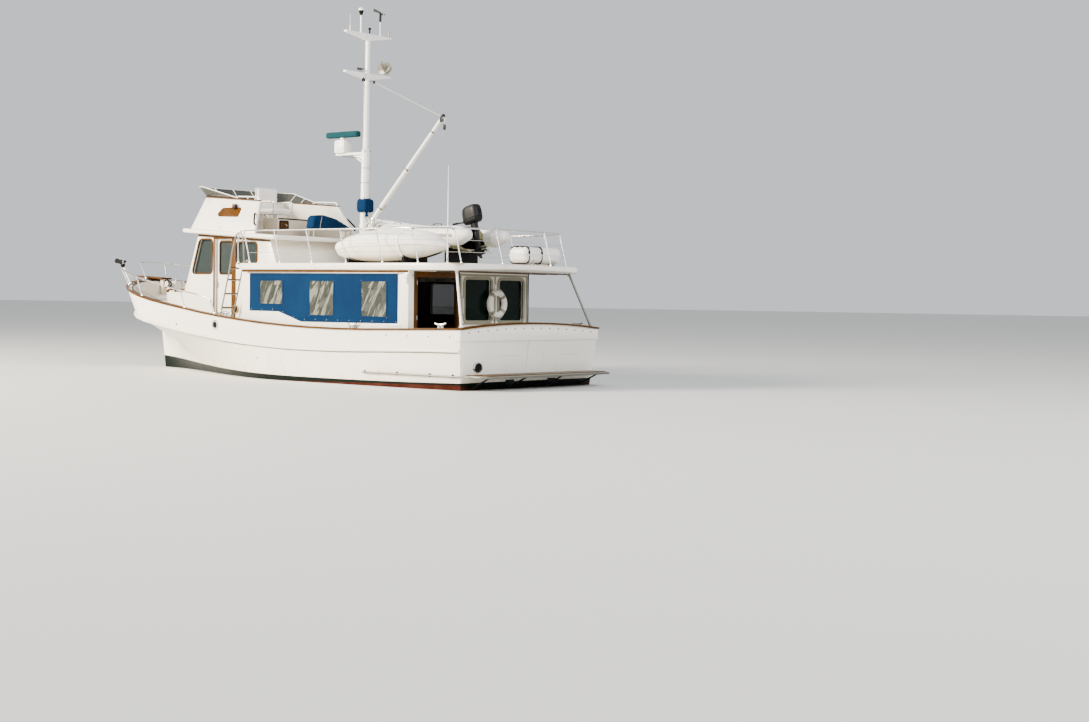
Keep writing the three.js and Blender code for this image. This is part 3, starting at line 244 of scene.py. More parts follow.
def polished(name="polished_rail", colour=(0.72, 0.72, 0.7), roughness=0.14):
    made = Finish(name, colour, roughness, 1.0)
    tarnish = made.noise(6, 5).step(0.45, 0.8)
    made.set("Base Color", made.mix(tarnish * 0.5, colour, (0.45, 0.4, 0.33)))
    made.set("Roughness", tarnish * 0.25 + made.noise(60, 2) * 0.1 + roughness)
    made.bump(made.noise(300, 1), 0.03)
    return made


def dark_glass(name="dark_glass", colour=(0.022, 0.032, 0.028), alpha=0.72, shine=0.5,
               smear=(0.2, 0.21, 0.19)):
    made = Finish(name, colour, 0.06, alpha=alpha, coat_weight=shine, coat_roughness=0.03,
                  specular_ior_level=shine)
    smears = made.noise(2.5, 5, (1, 1, 0.5)).step(0.45, 0.75)
    salt = made.noise(70, 4).step(0.62, 0.75)
    made.set("Base Color", made.mix(smears * 0.3 + salt * 0.1, colour, smear))
    made.set("Roughness", smears * 0.12 + salt * 0.2 + 0.04)
    made.set("Alpha", smears * 0.08 + alpha)
    return made


def clear_vinyl():
    """Window vinyl: dark, with a little of what lies behind it showing through, and painted highlights that
    run over it in slanting waves.
    """
    made = Finish("clear_vinyl", (0.04, 0.044, 0.034), 0.16, alpha=0.93, coat_weight=0.1,
                  coat_roughness=0.08)
    x, z = made.axis("X"), made.axis("Z")
    slant = made.node("ShaderNodeCombineXYZ", inputs={0: x * 4.4 + z * 2.4, 2: z * 0.9 - x * 0.5})
    inputs = {"Vector": slant, "Scale": 1.9, "Detail": 3.0, "Distortion": 0.8}
    wave = made.node("ShaderNodeTexNoise", inputs=inputs)
    # Painted highlight: pale slanting bands in the colour stand for light running over the vinyl.
    pale = wave.step(0.52, 0.6)
    made.set("Base Color", made.mix(pale * 0.6, (0.03, 0.034, 0.026), (0.2, 0.19, 0.14)))
    made.set("Roughness", pale * 0.3 + 0.16)
    made.bump(wave, 0.5, 0.01)
    return made


def moulded(name, colour, roughness=0.4, scuff=(0.3, 0.29, 0.27), coat=0.1, shine=0.5):
    made = Finish(name, colour, roughness, coat_weight=coat, specular_ior_level=shine)
    scuffs = made.noise(9, 6, roughness=0.65).step(0.6, 0.72)
    shade = made.mix(made.noise(2.2, 4).step(0.3, 0.75) * 0.5, colour, tinted(colour, 0.8))
    made.set("Base Color", made.mix(scuffs * 0.35, shade, scuff))
    made.set("Roughness", made.noise(22, 3) * 0.2 + scuffs * 0.2 + roughness - 0.08)
    made.bump(made.noise(420, 2), 0.1)
    return made


def cracked(name, colour, deep):
    """Weathered soft skin: vinyl and coated boat fabric, with fine creases."""
    made = Finish(name, colour, 0.55, sheen_weight=0.1)
    cells = made.node("ShaderNodeTexVoronoi", {"feature": "DISTANCE_TO_EDGE"},
                      {"Vector": made.where, "Scale": 120})
    folds = made.noise(4, 5, roughness=0.6)
    skin = made.mix(folds.step(0.35, 0.7) * 0.6, colour, tinted(colour, 0.82))
    made.set("Base Color", made.mix(made.noise(16, 5).step(0.6, 0.8) * 0.4, skin, deep))
    made.set("Roughness", made.noise(25, 3) * 0.25 + 0.42)
    made.bump(cells.step(0, 0.05) * 0.5 + folds * 2, 0.12)
    return made


WHITE = gelcoat()
CREAM = gelcoat("cream_gelcoat", (0.76, 0.66, 0.51))
HULL = hull_paint()
TEAK = teak()
TEAK_UP = teak("teak_upright", "Z")
TEAK_ACROSS = teak("teak_across", "Y")
BLUE = cloth("blue_canvas", (0.0003, 0.015, 0.051), (0.0008, 0.024, 0.071), sheen=0.0)
TEAL = cloth("scanner_cloth", (0.003, 0.036, 0.045), (0.01, 0.058, 0.064), sheen=0.04)
COVER = cloth("boat_cover", (0.91, 0.875, 0.83), (0.8, 0.765, 0.71), sheen=0.1)
GLASS = dark_glass()
DEEP_GLASS = dark_glass("deep_glass", (0.004, 0.011, 0.007), 0.85, 0.06, (0.02, 0.035, 0.028))
SCREEN = dark_glass("smoked_screen", (0.04, 0.042, 0.033), 0.84, 0.25, (0.1, 0.1, 0.085))
RAIL = polished()
DULL_STEEL = polished("dull_steel", (0.2, 0.19, 0.17), 0.42)
MAST_PAINT = painted("mast_paint", (0.9, 0.865, 0.815))
BRONZE = polished("bronze", (0.42, 0.28, 0.1), 0.32)
BOTTOM = painted("bottom_paint", (0.055, 0.012, 0.007), 0.7, (0.12, 0.05, 0.03))
BLACK = moulded("black_shell", (0.008, 0.008, 0.009), 0.46, (0.03, 0.03, 0.03), 0.03, 0.14)
RUBBER = moulded("black_rubber", (0.006, 0.006, 0.006), 0.7, (0.025, 0.024, 0.022), 0.0, 0.1)
PLASTIC = moulded("white_plastic", (0.91, 0.875, 0.825), 0.38, (0.6, 0.57, 0.52))
LOCKER = moulded("locker_panel", (0.6, 0.5, 0.38), 0.5, (0.42, 0.34, 0.26))
# Frame grey: a grey-beige paint, darkened further as painted shade for the bulkhead's frames under the boat
# deck's overhang.
FRAME_GREY = moulded("frame_grey", (0.26, 0.245, 0.17), 0.5)
VINYL = cracked("seat_vinyl", (0.92, 0.86, 0.79), (0.6, 0.54, 0.46))
TUBES = cracked("boat_tubes", (0.84, 0.81, 0.77), (0.56, 0.53, 0.48))
REFLECTOR = polished("reflector_plate", (0.46, 0.44, 0.37), 0.5)
RED_LENS = dark_glass("red_lens", (0.4, 0.01, 0.008), 0.9)
GREEN_LENS = dark_glass("green_lens", (0.006, 0.22, 0.06), 0.9)
VINYL_CLEAR = clear_vinyl()
ROPE = cloth("rope_lay", (0.55, 0.52, 0.46), (0.42, 0.39, 0.34), weave=900)
NONSKID = moulded("nonskid", (0.6, 0.56, 0.46), 0.75, (0.45, 0.4, 0.32), 0.0)
OLIVE = moulded("olive_board", (0.16, 0.15, 0.07), 0.55)
# Painted shade: a dark brown for the beams, which lie in the shade under the boat deck's overhang.
BEAM_SHADE = moulded("beam_underside_shade", (0.07, 0.04, 0.022), 0.6, (0.1, 0.07, 0.05))
SLOTS = {
    "gelcoat": (WHITE, CREAM, NONSKID, BEAM_SHADE),
    "hull_paint": (HULL,),
    "teak": (TEAK, TEAK_UP, TEAK_ACROSS),
    "canvas": (BLUE, COVER),
    "scanner_cover": (TEAL,),
    "glass": (GLASS, DEEP_GLASS, VINYL_CLEAR, RED_LENS, GREEN_LENS),
    "smoked_screen": (SCREEN,),
    "rail_steel": (RAIL, DULL_STEEL, REFLECTOR),
    "white_paint": (MAST_PAINT, ROPE),
    "bronze": (BRONZE,),
    "bottom_paint": (BOTTOM,),
    "black_plastic": (BLACK, RUBBER),
    "white_plastic": (PLASTIC, FRAME_GREY),
    "locker_plastic": (LOCKER,),
    "vinyl": (VINYL,),
    "tender_rubber": (TUBES, OLIVE),
}
for slot, finishes in SLOTS.items():
    for finish in finishes:
        finish.slot = slot


# Building
def blank():
    return bmesh.new()


def blanks(count):
    return [bmesh.new() for _ in range(count)]


def piece(name, bm, finish, body="boat", replaces=None, sharp=35):
    """A finished mesh object: its faces are smooth up to the sharp angle, and it rides on a body."""
    mesh = bpy.data.meshes.new(name)
    limit = math.radians(sharp)
    bmesh.ops.recalc_face_normals(bm, faces=bm.faces)
    for face in bm.faces:
        face.smooth = True
    for edge in bm.edges:
        edge.smooth = len(edge.link_faces) == 2 and edge.calc_face_angle(0) < limit
    bm.to_mesh(mesh)
    bm.free()
    mesh.materials.append(finish.material)
    made = bpy.data.objects.new(name, mesh)
    bpy.context.scene.collection.objects.link(made)
    if body:
        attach(made, body)
    if replaces:
        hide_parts(replaces)
    return made


def stations(path, up=None, closed=False):
    """A matrix at each point of a path, whose own Z runs along it and whose Y keeps near to up."""
    points = [Vector(point) for point in path]
    legs = [(after - before).normalized() for before, after in zip(points, points[1:] + points[:1])]
    if not closed:
        legs[-1] = legs[-2]
    first = legs[-1] if closed else legs[0]
    ways = [(before + after).normalized() for before, after in zip([first, *legs], legs)]
    turn = ways[0].to_track_quat("Z", "Y")
    places = []
    for point, way, before in zip(points, ways, [ways[0], *ways]):
        turn = before.rotation_difference(way) @ turn
        if up:
            side = Vector(up).cross(way).normalized()
            turn = Matrix((side, way.cross(side), way)).transposed().to_quaternion()
        places.append((point, turn))
    return places


def sweep(bm, path, size, sides=12, up=None, closed=False):
    """A bar along a path. Its size is a radius, half a width and half a height, or one for each point."""
    places = stations(path, up, closed)
    sizes = size if isinstance(size, list) else [size] * len(places)
    pairs = [each if isinstance(each, tuple) else (each, each) for each in sizes]
    spots = [Matrix.LocRotScale(point, turn, (wide, high, 1)) for (point, turn),
             (wide, high) in zip(places, pairs)]
    square = Matrix.Rotation(math.pi / sides, 4, "Z") @ Matrix.Scale(math.sqrt(2) if sides == 4 else 1, 4)
    ring = bmesh.ops.create_circle(bm, segments=sides, radius=1, matrix=spots[0] @ square)["verts"]
    first = edges = list({edge for vert in ring for edge in vert.link_edges})
    for before, after in zip(spots, spots[1:]):
        grown = bmesh.ops.extrude_edge_only(bm, edges=edges)["geom"]
        ring = {part for part in grown if isinstance(part, bmesh.types.BMVert)}
        edges = [part for part in grown if isinstance(part, bmesh.types.BMEdge) and set(part.verts) <= ring]
        bmesh.ops.transform(bm, matrix=after @ before.inverted(), verts=list(ring))
    if closed:
        bmesh.ops.bridge_loops(bm, edges=[*first, *edges])
    else:
        for end in (first, edges):
            bmesh.ops.edgeloop_fill(bm, edges=end)


def rounded(path, radius, steps=5, closed=False):
    """The path with its corners turned to arcs."""
    points = [Vector(point) for point in path]
    result = [] if closed else [points[0]]
    for i in range(len(points)) if closed else range(1, len(points) - 1):
        at, back, on = points[i], points[i - 1], points[(i + 1) % len(points)]
        start, end = (at + (other - at) * min(radius / (other - at).length, 0.49) for other in (back, on))
        for k in range(steps + 1):
            result.append(start.lerp(at, k / steps).lerp(at.lerp(end, k / steps), k / steps))
    return result if closed else [*result, points[-1]]


def square(x0, x1, y0, y1):
    """The four corners of a rectangle, as pairs."""
    return [(x0, y0), (x1, y0), (x1, y1), (x0, y1)]


def flowing(path, tension=0.35, steps=8):
    """A smooth curve through the points."""
    points = [Vector(point) for point in path]
    padded = [2 * points[0] - points[1], *points, 2 * points[-1] - points[-2]]
    curve = [points[0]]
    for before, start, end, after in zip(padded, padded[1:], padded[2:], padded[3:]):
        leave, arrive = (end - before) * tension, (after - start) * tension
        for t in (k / steps for k in range(1, steps + 1)):
            curve.append(start * (2 * t**3 - 3 * t * t + 1) + leave * (t**3 - 2 * t * t + t)
                         + end * (3 * t * t - 2 * t**3) + arrive * (t**3 - t * t))
    return curve


def facing(place, way=(0, 0, 1)):
    """A place whose own Z looks along a way."""
    return Matrix.LocRotScale(Vector(place), Vector(way).to_track_quat("Z", "Y"), None)


def add(bm, part, place=Matrix()):
    """Puts one shape in with the others of a piece."""
    bmesh.ops.transform(part, matrix=place, verts=part.verts)
    mesh = bpy.data.meshes.new("part")
    part.to_mesh(mesh)
    part.free()
    bm.from_mesh(mesh)
    bpy.data.meshes.remove(mesh)


def lathe(bm, profile, place, steps=24):
    """A turned shape: its profile, each point a radius and a height, goes round the place's own Z."""
    part = blank()
    line = [part.verts.new((radius, 0, height)) for radius, height in profile]
    edges = [part.edges.new(pair) for pair in zip(line, line[1:])]
    bmesh.ops.spin(part, geom=line + edges, cent=(0, 0, 0), axis=(0, 0, 1), angle=math.tau, steps=steps,
                   use_merge=True)
    bmesh.ops.remove_doubles(part, verts=part.verts, dist=1e-5)
    add(bm, part, place)


def peg(bm, start, end, radius, edge=None, steps=16):
    """A round bar between two points, with rounded ends."""
    way = Vector(end) - Vector(start)
    edge = radius * 0.2 if edge is None else edge
    profile = [(0, 0), (radius - edge, 0), (radius, edge), (radius, way.length - edge),
               (radius - edge, way.length), (0, way.length)]
    lathe(bm, profile, facing(start, way), steps)


def bevel(bm, edges, size, segments):
    bmesh.ops.bevel(bm, geom=list(edges), offset=size, offset_type="OFFSET", affect="EDGES",
                    segments=segments,
                    profile=0.5, material=-1, clamp_overlap=True)


def block(bm, low, high, edge=0.0, segments=2):
    """A box between two corners, with its edges rounded off."""
    low, high = Vector(low), Vector(high)
    place = Matrix.LocRotScale((low + high) / 2, None, high - low)
    cube = bmesh.ops.create_cube(bm, size=1, matrix=place)["verts"]
    if edge:
        bevel(bm, {e for vert in cube for e in vert.link_edges}, edge, segments)


def ball(bm, centre, radius, steps=20):
    size = radius if isinstance(radius, tuple) else (radius,) * 3
    bmesh.ops.create_uvsphere(bm, u_segments=steps, v_segments=steps // 2, radius=1,
                              matrix=Matrix.LocRotScale(Vector(centre), None, size))


def plate(bm, outline, thick, edge=0.0, segments=2):
    """A flat outline of points in space, given a thickness along its own normal."""
    face = bm.faces.new([bm.verts.new(point) for point in outline])
    face.normal_update()
    grown = bmesh.ops.extrude_face_region(bm, geom=[face])["geom"]
    far = [part for part in grown if isinstance(part, bmesh.types.BMVert)]
    bmesh.ops.translate(bm, verts=far, vec=face.normal * thick)
    if edge:
        rims = {e for vert in [*face.verts, *far] for e in vert.link_edges if e.calc_face_angle(0) > 0.6}
        bevel(bm, rims, edge, segments)


def soften(bm, edge=0.003, segments=2, sharp=35):
    """Rounds off every sharp edge of what has been built so far."""
    limit = math.radians(sharp)
    bevel(bm, [e for e in bm.edges if len(e.link_faces) == 2 and e.calc_face_angle(0) > limit], edge,
          segments)


def onto(node, start, way):
    """Where a ray meets a solid, and the way that the surface looks there."""
    if node not in TREES:
        bm = blank()
        bm.from_mesh(frame["nodes"][node].data)
        TREES[node] = BVHTree.FromBMesh(bm)
        bm.free()
    point, normal, _, _ = TREES[node].ray_cast(Vector(start), Vector(way).normalized())
    if point is None:
        return None, None
    return point, normal if normal.dot(Vector(way)) < 0 else -normal


def cap_point(x, side):
    """The middle of the cap rail's top at a station along the boat."""
    hits = [onto("cap_rail", (x, side * k * 0.01, 4), (0, 0, -1))[0] for k in range(20, 235)]
    hits = [hit for hit in hits if hit]
    return hits[len(hits) // 2]


TREES = {}


def body_of(node):
    return frame["nodes"][node]["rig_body"]


def merged(node):
    """A copy of a solid, with its triangles joined to flat faces."""
    bm = blank()
    bm.from_mesh(frame["nodes"][node].data)
    bmesh.ops.remove_doubles(bm, verts=bm.verts, dist=3e-5)
    bmesh.ops.dissolve_limit(bm, angle_limit=math.radians(0.8), verts=bm.verts, edges=bm.edges)
    return bm


def dress(node, finish, edge=0.0, shape=None):
    """A smooth-shaded copy of a solid, with its sharp edges rounded off."""
    bm = merged(node)
    if shape:
        shape(bm)
    if edge:
        soften(bm, edge)
    given = next(part["material_slot"] for part in frame["record"]["subparts"] if part["node"] == node)
    piece(f"{node}_skin", bm, finish, body=body_of(node), replaces=node)


# Camera, floor and light
CAMERA = {"place": (-26.021, 24.727, 1.703), "yaw": -51.4166, "pitch": -2.1441, "roll": 0.8659,
          "focal_px": 1685.75, "frame_px": 1089, "sensor_mm": 36}


def make_camera():
    """The camera that was fitted to the photograph."""
    yaw, pitch, roll = (math.radians(CAMERA[key]) for key in ("yaw", "pitch", "roll"))
    ahead = Vector((math.cos(pitch) * math.cos(yaw), math.cos(pitch) * math.sin(yaw), math.sin(pitch)))
    level = ahead.cross(Vector((0, 0, 1))).normalized()
    up = level.cross(ahead)
    right = level * math.cos(roll) + up * math.sin(roll)
    up = up * math.cos(roll) - level * math.sin(roll)
    data = bpy.data.cameras.new("camera")
    data.sensor_width = CAMERA["sensor_mm"]
    data.lens = CAMERA["focal_px"] * CAMERA["sensor_mm"] / CAMERA["frame_px"]
    data.clip_end = 900
    camera = bpy.data.objects.new("camera", data)
    turn = Matrix((right, up, -ahead)).transposed().to_4x4()
    camera.matrix_world = Matrix.Translation(CAMERA["place"]) @ turn
    bpy.context.scene.collection.objects.link(camera)
    bpy.context.scene.camera = camera


def make_floor():
    bm = blank()
    bmesh.ops.create_circle(bm, cap_ends=True, segments=96, radius=260)
    bmesh.ops.translate(bm, verts=bm.verts, vec=(0, 0, WATERLINE))
    floor = piece("floor", bm, Finish("pale_floor", (0.62, 0.62, 0.6), 0.6), body=None)


def area_light(name, place, aim, size, power, colour):
    data = bpy.data.lights.new(name, "AREA")
    data.shape, data.size, data.energy, data.color = "DISK", size, power, colour
    light = bpy.data.objects.new(name, data)
    light.location = place
    light.rotation_euler = (Vector(aim) - Vector(place)).to_track_quat("-Z", "Y").to_euler()
    bpy.context.scene.collection.objects.link(light)


def make_light():
    world = bpy.data.worlds.new("sky")
    world.use_nodes = True
    world.node_tree.nodes["Background"].inputs["Color"].default_value = (0.8, 0.83, 0.86, 1)
    world.node_tree.nodes["Background"].inputs["Strength"].default_value = 1.0
    bpy.context.scene.world = world
    area_light("key", (14, 29, 15), (0, 0, 2), 12, 52000, (1, 0.905, 0.76))
    area_light("fill", (-34, 8, 20), (0, 0, 2), 20, 11000, (0.95, 0.97, 1))


make_camera()
make_floor()
make_light()


# The solids whose shapes are right, smoothed and rounded
SKINS = {
    "hull": (HULL, 0.006), "cap_rail": (TEAK, 0.008), "rub_strake": (WHITE, 0.008),
    "rudder": (BOTTOM, 0.012), "propeller": (BRONZE, 0), "foredeck_trunk": (WHITE, 0.03),
    "foredeck_hatch": (WHITE, 0.012), "windlass": (MAST_PAINT, 0.008), "pilothouse": (WHITE, 0.006),
    "pilothouse_roof": (WHITE, 0.03), "flybridge_coaming": (WHITE, 0.02), "helm_console": (WHITE, 0.02),
    "flybridge_locker": (LOCKER, 0.012), "saloon": (WHITE, 0.005), "saloon_door": (TEAK_UP, 0.004),
    "boat_deck": (WHITE, 0.045), "mast": (MAST_PAINT, 0.004), "radar_pedestal": (PLASTIC, 0),
    "gooseneck_bracket": (RAIL, 0.003), "gooseneck": (RAIL, 0.002), "boom": (MAST_PAINT, 0),
    "skiff_chocks": (RUBBER, 0.006), "tender_chocks": (RUBBER, 0.006), "cover_rack": (RAIL, 0.002),
}


def arched(bm):
    """Raises the middle of the foot of the boat deck's aft edge."""
    cuts = [((0, k * 0.3, 0), (0, 1, 0)) for k in range(-6, 7)] + [((-5.6, 0, 0), (1, 0, 0))]
    for place, way in cuts:
        bmesh.ops.bisect_plane(bm, geom=bm.verts[:] + bm.edges[:] + bm.faces[:], plane_co=place,
                               plane_no=way, dist=1e-4)
    for vert in bm.verts:
        if vert.co.x < -5.75 and vert.co.z < 2.25:
            vert.co.z += 0.04 * (1 - (vert.co.y / 2) ** 2)


for node, (finish, edge) in SKINS.items():
    dress(node, finish, edge, shape=arched if node == "boat_deck" else None)


# Rails, posts and ladder
DECK_TOP = 2.31
DECK_RAIL = {"top": 2.96, "radius": 0.016, "post": 0.0125, "lean": 0.18, "wires": (2.52, 2.74),
             "wire": 0.004}
DECK_POSTS_X = (-0.31, -1.18, -2.08, -3.0, -3.95, -4.85)
DECK_POSTS_AFT = [(-5.56, 1.56), (-5.84, 0.72), (-5.84, -0.72), (-5.56, -1.56)]


def flange(bm, place, way, radius):
    """The foot of a pipe: a plate with a collar and three screw heads."""
    profile = [(0, 0), (radius * 2.3, 0), (radius * 2.3, 0.004), (radius * 1.6, 0.007),
               (radius * 1.25, 0.03)]
    at = facing(place)
    lathe(bm, profile, at, 20)
    for k in range(3):
        turn = Matrix.Rotation(k * math.tau / 3, 4, "Z") @ Matrix.Translation((radius * 1.9, 0, 0.003))
        ball(bm, (at @ turn).translation, (0.004, 0.004, 0.004), 8)
    peg(bm, at.translation, at.translation + Vector(way).normalized() * 0.045, radius * 1.2)


def post(bm, foot, top, radius):
    sweep(bm, [foot, top], radius, 12)
    flange(bm, foot, Vector(top) - Vector(foot), radius)


def deck_rail():
    """The boat deck's rail: one pipe over leaning posts, with two wires."""
    port = [(x, 2.005 + 0.011 * (x + 0.42)) for x in DECK_POSTS_X]
    feet = [(x, y, DECK_TOP) for x, y in [*port, *DECK_POSTS_AFT, *[(x, -y) for x, y in reversed(port)]]]
    tops = [(x + DECK_RAIL["lean"], y, DECK_RAIL["top"]) for x, y, _ in feet]
    port_end = [(0.04, 2.0, DECK_TOP), (0.06, 2.0, 2.7), (0.01, 2.0, 2.91)]
    starboard_end = [(0.16, -1.8, 2.89), (0.19, -1.7, 2.7), (0.17, -1.66, DECK_TOP)]
    bm = blank()
    sweep(bm, flowing([*port_end, *tops, *starboard_end]), DECK_RAIL["radius"])
    for foot, top in zip(feet, tops):
        post(bm, foot, top, DECK_RAIL["post"])
        ball(bm, Vector(top) + Vector((0, 0, -0.004)), 0.021, 12)
    flange(bm, port_end[0], (0, 0, 1), DECK_RAIL["radius"])
    flange(bm, starboard_end[-1], (0, 0, 1), DECK_RAIL["radius"])
    for height in DECK_RAIL["wires"]:
        share = (height - DECK_TOP) / (DECK_RAIL["top"] - DECK_TOP)
        wire = [Vector(foot).lerp(Vector(top), share) for foot, top in zip(feet, tops)]
        sweep(bm, wire, DECK_RAIL["wire"], 6)
    piece("boat_deck_pipes", bm, RAIL, replaces="boat_deck_rail")


BOW_RAILS = {
    "port": ([(4.45, 1.5, 2.19), (3.0, 2.19, 2.01), (1.9, 2.19, 1.79), (1.05, 2.18, 1.66),
              (0.72, 2.15, 1.56),
              (0.6, 2.135, 1.24)],
             [((4.33, 1.4), (4.45, 1.5, 2.19)), ((2.95, 2.12), (3.05, 2.185, 2.015)),
              ((1.5, 2.16), (1.6, 2.19, 1.74))]),
    "starboard": ([(5.38, 0.3, 2.38), (5.4, -0.3, 2.375), (4.95, -1.1, 2.3), (4.25, -1.7, 2.2),
                   (3.0, -2.19, 2.01),
                   (1.9, -2.19, 1.79), (1.05, -2.18, 1.66), (0.72, -2.15, 1.56), (0.6, -2.135, 1.24)],
                  [((5.23, 0.23), (5.385, 0.28, 2.376)), ((5.19, -0.33), (5.37, -0.42, 2.366)),
                   ((4.33, -1.4), (4.5, -1.53, 2.236)), ((2.95, -2.12), (3.05, -2.185, 2.015)),
                   ((1.5, -2.16), (1.6, -2.19, 1.74))]),
}


def bow_rails():
    """The pipes round the foredeck, each on posts that stand on the cap rail."""
    for side, (path, posts) in BOW_RAILS.items():
        bm = blank()
        sweep(bm, flowing(path, 0.3), 0.016)
        for (x, y), top in posts:
            foot, _ = onto("cap_rail", (x, y, 4), (0, 0, -1))
            post(bm, foot, top, 0.014)
            ball(bm, top, 0.021, 12)
        end, _ = onto("cap_rail", (*path[-1][:2], 4), (0, 0, -1))
        flange(bm, end, (0, 0, 1), 0.016)
        piece(f"bow_pipes_{side}", bm, RAIL, replaces=f"bow_rail_{side}")


LADDER = {"foot": (0.76, 0.929), "knee": (0.41, 2.23), "rungs": (0.14, 0.36, 0.58, 0.8, 0.98)}
LADDER_HOOPS = {1.56: [(0.34, 2.35), (0.25, 2.375), (0.215, 2.31)],
                1.9: [(0.33, 2.6), (0.21, 2.89), (0.07, 2.9), (0.01, 2.7), (-0.01, 2.31)]}


def ladder():
    """Two pipes that end in hoops above the deck, with rungs and wooden treads."""
    bm, treads = blanks(2)
    foot, knee = (Vector((x, 0, z)) for x, z in (LADDER["foot"], LADDER["knee"]))
    for y, hoop in LADDER_HOOPS.items():
        across = Vector((0, y, 0))
        low, _ = onto("hull", (foot.x, y, 1.4), (0, 0, -1))
        line = [low, knee + across, *[(x, y, z) for x, z in hoop]]
        sweep(bm, flowing(line[1:], 0.35), 0.016)
        sweep(bm, line[:2], 0.016)
        ball(bm, line[1], 0.017, 14)
        flange(bm, low, knee - foot, 0.016)
        flange(bm, line[-1], (0, 0, 1), 0.015)
    for share in LADDER["rungs"]:
        spot = foot.lerp(knee, share)
        peg(bm, spot + Vector((0, 1.56, 0)), spot + Vector((0, 1.9, 0)), 0.013)
        block(treads, spot + Vector((-0.03, 1.585, 0.006)), spot + Vector((0.05, 1.875, 0.026)), 0.006)
    piece("ladder_pipes", bm, DULL_STEEL, replaces="boat_deck_ladder")
    piece("ladder_treads", treads, TEAK_ACROSS)


def cockpit_posts():
    """The leaning posts between the cap rail and the boat deck, on their plates."""
    for side in SIDES:
        bm = blank()
        foot, top = Vector((-5.958, side * 1.967, 1.0)), Vector((-5.545, side * 1.67, 2.18))
        foot, _ = onto("cap_rail", top.lerp(foot, 0.4), foot - top)
        sweep(bm, [foot, top], 0.022, 16)
        flange(bm, foot, top - foot, 0.022)
        lathe(bm, [(0, 0), (0.05, 0), (0.05, 0.006), (0.03, 0.01), (0.026, 0.05)], facing(top, (0, 0, -1)))
        where = "port" if side > 0 else "starboard"
        # Painted shade: the starboard post is given dark steel for the shade it stands in; the port post is
        # white paint.
        piece(f"cockpit_pipe_{where}", bm, MAST_PAINT if side > 0 else DULL_STEEL,
              replaces=f"cockpit_post_{where}")


deck_rail()
bow_rails()
ladder()
cockpit_posts()


# Mast, radar and boom
SPREADERS = {"low": 6.22, "high": 7.02, "half": 0.65, "thick": 0.08}
GOOSENECK, BOOM_TIP = Vector((-1.75, 0, 3.24)), Vector((-3.64, 0, 5.23))
LIFT_TOP = Vector((-1.75, 0, 6.03))


def mast_x(z):
    return -1.5 - 0.07 * (z - DECK_TOP) / 4.65


